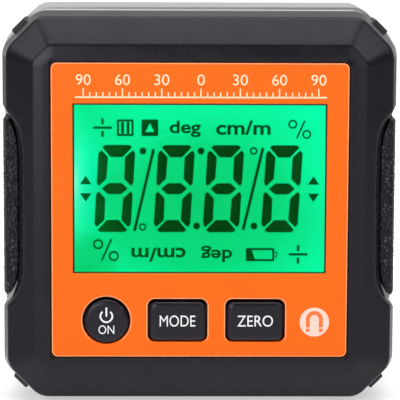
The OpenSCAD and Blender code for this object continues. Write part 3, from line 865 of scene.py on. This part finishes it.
# Display: dark shapes on the lit glass, each listed by its place and then its sizes
DIGIT_H = 13.25
DIGIT_W = 5.52
DIGIT_LOW = -3.47
LEAN = math.tan(math.radians(3.4))
DIGIT_LEFTS = (-15.97, -7.0, 0.44, 9.28)
SLASHES = ((-6.95, 9.19, -9.84, -3.3), (9.52, 9.38, 6.59, -3.12))
SLASH_T = 0.45
POINTS = ((-8.56, 8.88), (0.18, 8.9), (-0.44, -2.52), (8.25, -2.51))
POINT_R = 0.52
LEVEL_SIGNS = ((-14.65, 12.4), (14.96, -6.85))
PERCENT_SIGNS = ((15.1, 12.2, 1.42), (-14.2, -6.2, 1.78))
ARROW_X = 17.2
ARROWS = ((4.46, 1), (1.8, -1))
DEGREE_RINGS = ((-8.61, -2.69, 0.58, 0.25), (8.12, 8.92, 0.58, 0.25))
PERCENT_RINGS = ((13.98, 12.98, 0.68, 0.25), (16.1, 11.45, 0.68, 0.25),
                 (-15.35, -5.35, 0.8, 0.32), (-12.98, -7.15, 0.8, 0.32))
TOP_ROW = 12.4
BARS_BOX_X = -11.23
POINTER_BOX_X = -7.52
BOX_W = 2.5
BOX_HOLE_W = 1.86
CELL_ROW = -6.9
CELL_SIGN_X = 9.2
CELL_NUB_X = 11.6
UNIT_WORDS = (("deg", -2.2, 12.25, 4.7, 2.5, False), ("cm/m", 6.55, 12.45, 8.2, 2.2, False),
              ("cm/m", -6.2, -6.95, 8.2, 2.2, True), ("deg", 2.6, -6.8, 4.7, 2.5, True))
UNIT_WEIGHT = 0.022


def digit_marks(left):
    """The seven strokes of a digit, drawn upright from its lower left corner and then leaned."""
    w, h, mid = DIGIT_W, DIGIT_H, DIGIT_H / 2

    def flipped(points):
        return [(x, h - z) for x, z in points]

    def mirrored(points):
        return [(w - x, z) for x, z in points]

    half_top = [(0.92, h), (0.52, h - 0.34), (1.86, h - 1.84)]
    top = half_top + mirrored(half_top[::-1])
    side = [(0.4, h - 0.78), (0, h - 1.25), (0, mid + 0.84), (0.35, mid + 0.43), (1.42, mid + 1.5),
            (1.48, h - 1.84)]
    bridge = [(0.8, mid), (1.76, mid - 0.84), (w - 1.76, mid - 0.84), (w - 0.8, mid),
              (w - 1.76, mid + 0.84), (1.76, mid + 0.84)]
    strokes = [top, flipped(top), bridge, side, mirrored(side), flipped(side), flipped(mirrored(side))]
    for points in strokes:
        yield polygon([(left + x + LEAN * z, DIGIT_LOW + z) for x, z in points])


def level_sign(x, z):
    """Long bar with a short upright above and below it."""
    yield bar(x - 1.42, z, x + 1.42, z, 0.36)
    for side in (-1, 1):
        yield bar(x, z + side * 0.5, x, z + side * 1.42, 0.38)


def percent_slash(x, z, size):
    """Slash of a percent sign, whose rings are open marks."""
    return bar(x - 0.35 * size, z - 0.95 * size, x + 0.5 * size, z + 0.95 * size, 0.175 * size)


def arrow(x, z, way):
    """Small triangle that points up or down."""
    return polygon([(x - 0.85, z - way * 0.64), (x + 0.85, z - way * 0.64), (x, z + way * 0.64)])


def closed_marks():
    """Dark shapes with no hole."""
    marks = [mark for left in DIGIT_LEFTS for mark in digit_marks(left)]
    marks += [bar(*ends, SLASH_T) for ends in SLASHES]
    marks += [disc(x, z, POINT_R, 32) for x, z in POINTS]
    marks += [mark for place in LEVEL_SIGNS for mark in level_sign(*place)]
    marks += [percent_slash(*sign) for sign in PERCENT_SIGNS]
    marks += [arrow(side * ARROW_X, z, way) for side in (-1, 1) for z, way in ARROWS]
    for x in (BARS_BOX_X - 0.41, BARS_BOX_X + 0.41):
        marks.append(bar(x, TOP_ROW - 0.9, x, TOP_ROW + 0.9, 0.44))
    marks.append(polygon([(7.25, -5.95), (7.25, -7.85), (8.5, -7.85), (7.85, -5.95)]))
    return marks


def open_marks():
    """Dark shapes with a hole: rings, the two boxes and the cell sign with its nub."""
    rings = DEGREE_RINGS + PERCENT_RINGS
    marks = [(disc(x, z, r, 40), disc(x, z, r - stroke, 40)) for x, z, r, stroke in rings]
    pointer = polygon([(-8.2, 11.75), (-6.85, 11.75), (-7.52, 13.1)])
    marks.append((soft_rect(BARS_BOX_X, TOP_ROW, BOX_W, BOX_W, 0.15),
                  soft_rect(BARS_BOX_X, TOP_ROW, BOX_HOLE_W, BOX_HOLE_W, 0.1)))
    marks.append((soft_rect(POINTER_BOX_X, TOP_ROW, BOX_W, BOX_W, 0.15), pointer))
    marks.append((soft_rect(CELL_SIGN_X, CELL_ROW, 4.3, 2.0, 0.1),
                  soft_rect(CELL_SIGN_X, CELL_ROW, 3.68, 1.38, 0.05)))
    marks.append((soft_rect(CELL_NUB_X, CELL_ROW, 0.42, 0.95, 0.05),
                  soft_rect(CELL_NUB_X - 0.04, CELL_ROW, 0.2, 0.6, 0.03)))
    return marks


def display_marks():
    """All dark shapes of the display in one piece."""
    bm = bmesh.new()
    for mark in closed_marks():
        slab(bm, [mark], *MARK)
    for rim, hole in open_marks():
        slab(bm, [rim, hole], *MARK)
    for words, x, z, width, height, turned in UNIT_WORDS:
        letters(bm, words, x, z, width, height, MARK, turned, UNIT_WEIGHT)
    piece("display_marks", bm, "display_mark", GAUGE)


# Black border of print and painted shade, by how far it shows inside the opening and reaches outside it
BORDER_SIDE = 0.2
BORDER_LOW = 0.08
BORDER_HIGH = 0.34
BORDER_OUT = 0.7


def display_border():
    """Thin black print round the back of the window, just inside the panel's opening, which also stands for
    painted shade along the opening's edges, widest at the top.
    """
    x, z, w, h = WINDOW
    left, right = x - w / 2 + BORDER_SIDE, x + w / 2 - BORDER_SIDE
    low, high = z - h / 2 + BORDER_LOW, z + h / 2 - BORDER_HIGH
    bm = bmesh.new()
    inner = polygon([(left, low), (right, low), (right, high), (left, high)])
    slab(bm, [soft_rect(x, z, w + 2 * BORDER_OUT, h + 2 * BORDER_OUT, WINDOW_R), inner], *BORDER)
    piece("display_border", bm, "black_print_and_shade", GAUGE)


# Keys
def key_cap(name):
    """Cap with a rounded edge on a straight wall, with its flange and stem."""
    low, high = extent(name + "_key")
    x, z = key_place(name)[:2]
    crown = low.y - CAP_PROUD
    bm = bmesh.new()
    rings = []
    for turn in quarter_turns(CAP_STEPS):
        outline = key_outline(name, CAP_EDGE_RUN * (1 - math.sin(turn)) - CAP_GROW, CAP_SINK)
        rings.append(ring(bm, outline(), crown + CAP_EDGE_DROP * (1 - math.cos(turn))))
    rings.append(ring(bm, key_outline(name, -CAP_GROW, CAP_SINK)(), FLANGE_Y))
    rings += [ring(bm, key_outline(name, -FLANGE_OUT)(), y) for y in (FLANGE_Y, FLANGE_Y + FLANGE_T)]
    skin(bm, rings)
    fill(bm, [rings[0]])
    fill(bm, [rings[-1]])
    slab(bm, [disc(x, z, STEM_R, 32)], FLANGE_Y + FLANGE_T - STEM_ROOT, high.y)
    piece(name + "_cap", bm, "key_plastic", name + "_key_body", [name + "_key"])


# Legends: a word is its lift above the middle of the cap, its width and its height
POWER_SIGN_LIFT = 0.66
POWER_SIGN_OUT = 1.03
POWER_SIGN_IN = 0.77
POWER_SIGN_DEG = (130, 410)
POWER_BAR = (-0.05, 1.34)
POWER_BAR_W = 0.26
SHORT_WORD = (-1.4, 2.4, 1.32)
LONG_WORD = (-0.05, 5.4, 1.72)


def key_legend(name, words):
    """White print on a cap: a power sign over a short word, or one word."""
    x, z = key_place(name)[:2]
    crown = extent(name + "_key")[0].y - CAP_PROUD
    layer = (crown - 0.015, crown + 0.01)
    lift, width, height = LONG_WORD
    bm = bmesh.new()
    if name == "power":
        sign_z = z + POWER_SIGN_LIFT
        start, end = POWER_SIGN_DEG
        band = arc(x, sign_z, POWER_SIGN_OUT, start, end, 40) + arc(x, sign_z, POWER_SIGN_IN, end, start, 40)
        slab(bm, [polygon(band)], *layer)
        slab(bm, [bar(x, sign_z + POWER_BAR[0], x, sign_z + POWER_BAR[1], POWER_BAR_W)], *layer)
        lift, width, height = SHORT_WORD
    letters(bm, words, x, z + lift, width, height, layer)
    piece(name + "_legend", bm, "ink_white", name + "_key_body")


# Rubber grips with a pebbled surface
GRIP_EDGE = 0.3
GRIP_BOND = 0.02
GRIP_BOW = 0.5
GRIP_BOW_POWER = 10
GRIP_BARE = 0.3
EDGE_SHARE = 0.45
TRIM_SHARE = 0.3
EDGE_STEPS = 5
END_STEPS = 4
FRONT_STEPS = 20
DEPTH_STEPS = 84
HEIGHT_STEPS = 240
GRAIN_SIZE = 0.6
GRAIN_DEPTH = 0.17
FINE_SIZE = 0.4
CREASE_W = 0.42


def rim_at(y):
    """Half width of the drafted rim at one depth."""
    return RIM_X - (RIM_OUT - BEVEL_RUN) * max(0, RIM_Y - y) / (RIM_Y - BEVEL_Y)


def grip_section(left, inset):
    """Closed section of the pad at one height, as (x, y, grained) points."""
    near, far = grip_low.y + inset, grip_high.y - inset
    edge = min(GRIP_EDGE, EDGE_SHARE * (rim_at(near) - left))
    trim = min(inset, TRIM_SHARE * edge)
    left += trim
    right = rim_at(near + edge) - trim
    flat = right - left - 2 * edge
    turns = quarter_turns(EDGE_STEPS)
    points = [(left + edge - edge * math.cos(t), near + edge - edge * math.sin(t), True) for t in turns]
    points += [(left + edge + flat * k / FRONT_STEPS, near, True) for k in range(1, FRONT_STEPS)]
    points += [(right - edge + edge * math.sin(t), near + edge - edge * math.cos(t), True) for t in turns]
    deep = [near + edge + (far - near - edge) * k / DEPTH_STEPS for k in range(1, DEPTH_STEPS + 1)]
    points += [(rim_at(y) - trim, y, y < far - GRIP_BARE) for y in deep]
    points += [(left, far, False), (left, (near + far) / 2, False)]
    return points


def grain(point):
    """Height of the pebbled grain at a place, from 0 in a crease to 1 on a crown."""
    near, second = noise.voronoi(point / GRAIN_SIZE)[0][:2]
    crease = min(1.0, (second - near) / CREASE_W)
    return 0.7 * math.sqrt(crease) + 0.3 * (0.5 + 0.5 * noise.noise(point / FINE_SIZE))


def grip_rows():
    """Heights of the pad's sections, each with how far the rounded ends draw it in."""
    half = (grip_high.z - grip_low.z) / 2
    straight = 2 * half - 2 * GRIP_EDGE
    ends = [(-half + GRIP_EDGE * (1 - math.sin(t)), GRIP_EDGE * (1 - math.cos(t)))
            for t in reversed(quarter_turns(END_STEPS))]
    rows = ends + [(-half + GRIP_EDGE + straight * k / HEIGHT_STEPS, 0.0) for k in range(1, HEIGHT_STEPS)]
    return rows + [(-z, inset) for z, inset in reversed(ends)]


def grip_pad(side):
    """One pad: flat outside, following the scallop inside, rounded at its edges and ends."""
    half = (grip_high.z - grip_low.z) / 2
    bm = bmesh.new()
    pebbles = bm.verts.layers.float.new(PEBBLES)
    loops, grained = [], []
    for z, inset in grip_rows():
        bow = GRIP_BOW * (z / half) ** GRIP_BOW_POWER
        section = grip_section(scallop_floor(z, grip_low.y) + GRIP_BOND + bow, inset)
        loop = [bm.verts.new(Vector((x, y, MID_Z + z)) * MM) for x, y, _ in section]
        grained += [v for v, (_, _, shown) in zip(loop, section) if shown]
        loops.append(loop)
    skin(bm, loops)
    cap_ends(bm, loops)
    bmesh.ops.recalc_face_normals(bm, faces=bm.faces)
    bm.normal_update()
    for v in grained:
        v[pebbles] = grain(v.co / MM)
    moves = [(v, v.normal * (v[pebbles] - 1) * GRAIN_DEPTH * MM) for v in grained]
    for v, move in moves:
        v.co += move
    if side == "left":
        bmesh.ops.scale(bm, vec=(-1, 1, 1), verts=bm.verts)
    piece(side + "_grip_pad", bm, "grip_rubber", GAUGE, ["grip_" + side], crease=180)


# Battery door and cells
ARROW_FOOT = 9.2
ARROW_HALF = 1.9
ARROW_H = 2.6
ARROW_SINK = 0.3
CUT_CLEAR = 0.5
NUB_H = 0.8
CELL_STEPS = 64
SLEEVE_LIP = 0.42


def door_arrow():
    """Triangle above the thumb grooves, which points the way that the door is pushed, and its depths."""
    low, high = extent("battery_door")
    foot = low.z - MID_Z + ARROW_FOOT
    outline = polygon([(-ARROW_HALF, foot), (ARROW_HALF, foot), (0, foot + ARROW_H)])
    return outline, high.y - ARROW_SINK, high.y + CUT_CLEAR


def battery_sleeve(name, way):
    """Turned cell along X: flat end, crimped shoulders, sleeve and nub, with bare metal at both ends."""
    low, high = extent(name)
    r = (high.z - low.z) / 2
    middle = (low + high) / 2
    tip = high.x - low.x
    nub = tip - NUB_H
    profile = [(3.3, 0.0), (r - 0.75, 0.0), (r - 0.5, 0.12), (r - 0.45, 0.4), (r, 0.75), (r, nub - 0.7),
               (r - 0.35, nub - 0.3), (r - 0.8, nub - 0.05), (2.3, nub - 0.05), (1.9, nub + 0.1),
               (1.9, tip - 0.25), (1.6, tip)]
    start = low.x if way > 0 else high.x
    bm = bmesh.new()
    share = bm.verts.layers.float.new(ALONG_CELL)
    loops = []
    for radius, along in profile:
        loop = []
        for t in full_turns(CELL_STEPS):
            y, z = middle.y + radius * math.cos(t), middle.z + radius * math.sin(t)
            loop.append(bm.verts.new(Vector((start + way * along, y, z)) * MM))
            loop[-1][share] = along / tip
        loops.append(loop)
    skin(bm, loops)
    cap_ends(bm, loops)
    sleeve = piece(name + "_sleeve", bm, "cell_jacket", GAUGE, [name], crease=30)

    def bare(face):
        off_axis = math.hypot(face.center.y / MM - middle.y, face.center.z / MM - middle.z)
        return off_axis < r - SLEEVE_LIP

    repaint(sleeve, "contact_steel", bare)


# Repeated forms grown by node trees
def form_tree(name, inputs):
    """Empty tree with named inputs and one geometry output."""
    tree = bpy.data.node_groups.new(name, "GeometryNodeTree")
    tree.interface.new_socket("Geometry", in_out="OUTPUT", socket_type="NodeSocketGeometry")
    for label, kind in inputs.items():
        tree.interface.new_socket(label, in_out="INPUT", socket_type="NodeSocket" + kind)
    return tree, add_node(tree, "NodeGroupInput").outputs


def end_tree(tree, geometry, material):
    """Realizes the instances, sets the finish and closes the tree."""
    real = output_of(tree, "GeometryNodeRealizeInstances", {"Geometry": geometry})
    done = output_of(tree, "GeometryNodeSetMaterial", {"Geometry": real, "Material": material})
    add_node(tree, "NodeGroupOutput", {"Geometry": done})


def grow(name, tree, values):
    """Runs a tree once and keeps its result as a plain mesh."""
    obj = link_object(name, bpy.data.meshes.new(name))
    form = obj.modifiers.new("form", "NODES")
    form.node_group = tree
    for item in tree.interface.items_tree:
        if item.in_out == "INPUT":
            form[item.identifier] = values[item.name]
    mesh = evaluated_mesh(obj)
    obj.modifiers.clear()
    obj.data = mesh
    return obj


def screw_tree():
    """Four cross-slotted screws at the corners of a square, each turned at random."""
    tree, given = form_tree("cross_screws", {
        "Head Radius": "Float", "Head Height": "Float", "Shank Radius": "Float", "Shank Length": "Float",
        "Slot Size": "Vector", "Spacing": "Float", "Seed": "Int", "Finish": "Material"})

    def rod(vertices, radius, length):
        return output_of(tree, "GeometryNodeMeshCylinder", {
            "Vertices": vertices, "Radius": given[radius], "Depth": given[length]})

    def shift(geometry, axis_offset, turn=0.0):
        lift = output_of(tree, "ShaderNodeCombineXYZ", {"Z": axis_offset})
        return output_of(tree, "GeometryNodeTransform", {
            "Geometry": geometry, "Translation": lift, "Rotation": (0, 0, turn)})

    head = rod(48, "Head Radius", "Head Height")
    shank = rod(24, "Shank Radius", "Shank Length")
    slot = output_of(tree, "GeometryNodeMeshCube", {"Size": given["Slot Size"]})
    top = calc(tree, "MULTIPLY", given["Head Height"], 0.5)
    slots = [shift(slot, top), shift(slot, top, math.pi / 2)]
    pair = {"Mesh 1": head, "Mesh 2": slots}
    cut = output_of(tree, "GeometryNodeMeshBoolean", pair, operation="DIFFERENCE")
    stem = shift(shank, calc(tree, "MULTIPLY", given["Shank Length"], -0.5))
    screw = output_of(tree, "GeometryNodeJoinGeometry", {"Geometry": [cut, stem]})
    corners = output_of(tree, "GeometryNodeMeshGrid", {
        "Size X": given["Spacing"], "Size Y": given["Spacing"], "Vertices X": 2, "Vertices Y": 2})
    chance = output_of(tree, "FunctionNodeRandomValue", {2: 0.0, 3: math.pi, 8: given["Seed"]}, 1)
    spin = output_of(tree, "ShaderNodeCombineXYZ", {"Z": chance})
    turn = output_of(tree, "FunctionNodeEulerToRotation", {"Euler": spin})
    placed = output_of(tree, "GeometryNodeInstanceOnPoints", {
        "Points": corners, "Instance": screw, "Rotation": turn})
    end_tree(tree, placed, given["Finish"])
    return tree


# Case screws
HEAD_H = 1.7
SHANK_R = 1.2
SLOT_SIZE = (2.9, 0.7, 2.2)
SLOT_REACH = 2
SLOT_SHOWS = 0.1


def cover_screws():
    """Case screws, heads to the back, with painted shade in their slots."""
    screws = grow("cover_screws", screw_tree(), {
        "Head Radius": HEAD_R * MM, "Head Height": HEAD_H * MM, "Shank Radius": SHANK_R * MM,
        "Shank Length": (screw_high.y - screw_low.y - HEAD_H / 2) * MM,
        "Slot Size": Vector(SLOT_SIZE) * MM, "Spacing": 2 * BOSS_AT * MM,
        "Seed": 3, "Finish": FINISHES["screw_steel"]})
    place = Matrix.Translation(Vector((0, screw_high.y - HEAD_H / 2, MID_Z)) * MM)
    screws.data.transform(place @ Matrix.Rotation(-math.pi / 2, 4, "X"))
    shade(screws.data, CREASE)
    round_edges(screws, 0.06, 2, 40)
    settle(screws, "screw_steel", GAUGE, ["case_screws"])

    # Faces inside the cross slots take the painted shade
    def in_slot(face):
        x, y, z = face.center / MM
        off_axis = math.hypot(abs(x) - BOSS_AT, abs(z - MID_Z) - BOSS_AT)
        return off_axis < SLOT_REACH and screw_high.y - HEAD_H < y < screw_high.y - SLOT_SHOWS

    repaint(screws, "screw_slot_shade", in_slot)


def spring_tree():
    """Wire wound in a cone."""
    tree, given = form_tree("wire_spring", {
        "Wire Radius": "Float", "Wide Radius": "Float", "Narrow Radius": "Float", "Length": "Float",
        "Turns": "Float", "Finish": "Material"})
    coil = output_of(tree, "GeometryNodeCurveSpiral", {
        "Resolution": 40, "Rotations": given["Turns"], "Start Radius": given["Wide Radius"],
        "End Radius": given["Narrow Radius"], "Height": given["Length"]})
    wire = output_of(tree, "GeometryNodeCurvePrimitiveCircle", {
        "Resolution": 12, "Radius": given["Wire Radius"]})
    wound = output_of(tree, "GeometryNodeCurveToMesh", {
        "Curve": coil, "Profile Curve": wire, "Fill Caps": True})
    end_tree(tree, wound, given["Finish"])
    return tree


# Cell springs
WIRE_R = 0.3
SPRING_TAPER = 1.3
SPRING_TURNS = 3.5


def cell_springs():
    """Cone springs between a contact plate and the flat end of each cell."""
    tree = spring_tree()
    for node, way in (("negative_spring", -1), ("bridge_spring", 1)):
        low, high = extent(node)
        middle = (low + high) / 2
        wide = (high.y - low.y) / 2 - WIRE_R
        spring = grow(node + "_wire", tree, {
            "Wire Radius": WIRE_R * MM, "Wide Radius": wide * MM, "Narrow Radius": (wide - SPRING_TAPER) * MM,
            "Length": (high.x - low.x - 2 * WIRE_R) * MM, "Turns": SPRING_TURNS,
            "Finish": FINISHES["contact_steel"]})
        start = high.x - WIRE_R if way < 0 else low.x + WIRE_R
        place = Matrix.Translation(Vector((start, middle.y, middle.z)) * MM)
        spring.data.transform(place @ Matrix.Rotation(way * math.pi / 2, 4, "Y"))
        shade(spring.data, 60)
        settle(spring, "contact_steel", GAUGE, [node])


def tick_tree():
    """Row of ticks that stand on a line, with a longer one at a fixed count."""
    tree, given = form_tree("scale_ticks", {
        "Count": "Int", "Start": "Vector", "Step": "Vector", "Tick Size": "Vector", "Long Every": "Int",
        "Long Share": "Float", "Finish": "Material"})
    points = output_of(tree, "GeometryNodeMeshLine", {
        "Count": given["Count"], "Start Location": given["Start"], "Offset": given["Step"]})
    tick = output_of(tree, "GeometryNodeMeshCube", {"Size": given["Tick Size"]})
    lift = calc_vector(tree, "MULTIPLY", given["Tick Size"], (0, 0, 0.5))
    stood = output_of(tree, "GeometryNodeTransform", {"Geometry": tick, "Translation": lift})
    count = calc(tree, "MODULO", output_of(tree, "GeometryNodeInputIndex"), given["Long Every"])
    first = calc(tree, "LESS_THAN", count, 0.5)
    high = calc(tree, "ADD", calc(tree, "MULTIPLY", first, given["Long Share"]), 1.0)
    scale = output_of(tree, "ShaderNodeCombineXYZ", {"X": 1.0, "Y": 1.0, "Z": high})
    placed = output_of(tree, "GeometryNodeInstanceOnPoints", {
        "Points": points, "Instance": stood, "Scale": scale})
    end_tree(tree, placed, given["Finish"])
    return tree


def scale_ticks():
    """Ticks of the angle scale, longer under its numbers."""
    count = 180 // TICK_STEP_DEG + 1
    ticks = grow("scale_ticks", tick_tree(), {
        "Count": count, "Start": Vector((SCALE_MID - SCALE_REACH, sum(INK) / 2, MID_Z + SCALE_Z)) * MM,
        "Step": Vector((2 * SCALE_REACH / (count - 1), 0, 0)) * MM,
        "Tick Size": Vector((TICK_W, INK[1] - INK[0], TICK_H)) * MM,
        "Long Every": LONG_TICK_DEG // TICK_STEP_DEG, "Long Share": LONG_SHARE,
        "Finish": FINISHES["ink_cream"]})
    settle(ticks, "ink_cream", GAUGE)


# Studio: pale floor and soft light, in metres, and the camera of the photograph
FLOOR_HALF = 4.0
FLOOR_Z = -0.00002
FLOOR_GREY = 0.72
FLOOR_LIFT = (0.5, 0.95)
LIFT_RUN = (0.03, 0.12)
BEHIND_RUN = (0.6, 1.2)
BESIDE_RUN = (0.034, 0.055)
SOFT_SKY = 0.19

# Lamps: place, target, width and height, power
GAUGE_MID = (0, 0, 0.03)
LAMPS = {
    "overhead": ((0.0, -0.16, 0.55), (0, -0.159, 0.0), (0.62, 0.6), 3.4),
    "left_window": ((-0.41, -0.34, 0.345), GAUGE_MID, (0.2, 0.28), 0.53),
    "right_window": ((0.41, -0.34, 0.345), GAUGE_MID, (0.2, 0.28), 0.45),
    "left_of_camera": ((-0.2, -0.57, 0.13), GAUGE_MID, (0.25, 0.24), 0.85),
    "right_of_camera": ((0.22, -0.56, 0.13), GAUGE_MID, (0.2, 0.24), 0.22),
}


def studio():
    """Floor that runs to white away from the gauge and keeps its shadow near it."""
    half = FLOOR_HALF
    corners = [(-half, -half, 0), (half, -half, 0), (half, half, 0), (-half, half, 0)]
    mesh = bpy.data.meshes.new("floor")
    mesh.from_pydata(corners, [], [(0, 1, 2, 3)])
    floor = link_object("floor", mesh)
    floor.location.z = FLOOR_Z
    material = bpy.data.materials.new("floor")
    material.use_nodes = True
    tree = material.node_tree
    tree.nodes.remove(tree.nodes["Principled BSDF"])
    paper = output_of(tree, "ShaderNodeBsdfDiffuse", {"Color": grey(FLOOR_GREY)})
    place = output_of(tree, "ShaderNodeTexCoord", socket="Object")
    away = output_of(tree, "ShaderNodeVectorMath", {0: place}, "Value", operation="LENGTH")
    lift = between(tree, away, *FLOOR_LIFT, *LIFT_RUN)
    behind = between(tree, part_of(tree, place, "Y"), 0.0, 1.0, *BEHIND_RUN)
    beside = between(tree, away, 1.0, 0.0, *BESIDE_RUN)
    path = add_node(tree, "ShaderNodeLightPath").outputs
    seen = calc(tree, "MULTIPLY", path["Is Glossy Ray"], calc(tree, "MAXIMUM", behind, beside))
    for ray in ("Is Camera Ray", "Is Transmission Ray"):
        seen = calc(tree, "MAXIMUM", seen, path[ray])
    glow = output_of(tree, "ShaderNodeEmission", {"Strength": calc(tree, "MULTIPLY", seen, lift)})
    both = output_of(tree, "ShaderNodeAddShader", {0: paper, 1: glow})
    tree.links.new(both, tree.nodes["Material Output"].inputs["Surface"])
    floor.data.materials.append(material)


def daylight():
    """White behind the gauge, dimmer on the camera's side, and an even soft light on matt surfaces."""
    world = bpy.data.worlds.new("daylight")
    bpy.context.scene.world = world
    world.use_nodes = True
    tree = world.node_tree
    sky = tree.nodes["Background"]
    depth = part_of(tree, output_of(tree, "ShaderNodeTexCoord", socket="Generated"), "Y")
    mirrored = ramp(tree, between(tree, depth, 0.0, 1.0, -1.0, 1.0), [
        (0.0, grey(0.12)), (0.3, grey(0.14)), (0.5, grey(0.5)), (0.92, grey(0.55)), (0.98, grey(1.0))])
    path = add_node(tree, "ShaderNodeLightPath").outputs
    soft = calc(tree, "MULTIPLY", path["Is Diffuse Ray"], SOFT_SKY)
    others = calc(tree, "SUBTRACT", 1.0, path["Is Diffuse Ray"])
    strength = calc(tree, "ADD", calc(tree, "MULTIPLY", mirrored, others), soft)
    level = calc(tree, "MAXIMUM", strength, path["Is Camera Ray"])
    sky.inputs["Color"].default_value = (1, 1, 1, 1)
    tree.links.new(level, sky.inputs["Strength"])


def aim(obj, place, target, roll=0.0, unit=1.0):
    """Sets a lamp or the camera at a place, looking at a point."""
    obj.location = Vector(place) * unit
    obj.rotation_mode = "QUATERNION"
    look = (Vector(target) - Vector(place)).to_track_quat("-Z", "Y")
    obj.rotation_quaternion = look @ Quaternion((0, 0, 1), roll)


def softbox(name, place, target, size, power):
    """Rectangular lamp aimed at a point."""
    lamp = bpy.data.lights.new(name, "AREA")
    lamp.shape = "RECTANGLE"
    lamp.size, lamp.size_y = size
    lamp.energy = power
    aim(link_object(name, lamp), place, target)


# Camera, in millimetres, fitted to the edges of the photographed face
CAMERA_AT = (-4.99, -361.71, 79.33)
CAMERA_TO = (0.03, -15.0, 31.71)
CAMERA_ROLL = math.radians(0.22)
CAMERA_LENS = 209.6
CAMERA_SENSOR = 36


def photo_camera():
    """Camera that sees the gauge as the photograph does."""
    data = bpy.data.cameras.new("camera")
    data.lens = CAMERA_LENS
    data.sensor_width = CAMERA_SENSOR
    camera = link_object("camera", data)
    aim(camera, CAMERA_AT, CAMERA_TO, CAMERA_ROLL, MM)
    bpy.context.scene.camera = camera


def dress(obj, material):
    """Finish for a CAD node, which keeps its shape."""
    if not obj.material_slots:
        obj.data.materials.append(material)
    for slot in obj.material_slots:
        slot.material = material


bpy.context.scene.view_settings.view_transform = "Standard"
photo_camera()
studio()
daylight()
for lamp_name, settings in LAMPS.items():
    softbox(lamp_name, *settings)

# Every CAD node takes the finish of its material slot, and the pieces then replace those that need more
for part in frame["record"]["subparts"]:
    dress(nodes[part["node"]], FINISHES[part["material_slot"]])
case_shell()
panel_plate()
printed_scale()
scale_ticks()
magnet_sign()
display_marks()
display_border()
for key_name, key_word in KEY_WORDS.items():
    key_cap(key_name)
    key_legend(key_name, key_word)
for side_name in ("left", "right"):
    grip_pad(side_name)
softened("corner_bumpers", "corner_pads", 0.22, "pad_rubber", GAUGE)
softened("aluminium_frame", "frame_ring", 0.22, "frame_aluminium", GAUGE)
softened("back_cover", "rear_cover", 0.2, "rear_plastic", GAUGE)
softened("bay_door", "battery_door", 0.15, "rear_plastic", DOOR, door_arrow())
battery_sleeve("upper_cell", 1)
battery_sleeve("lower_cell", -1)
cell_springs()
cover_screws()
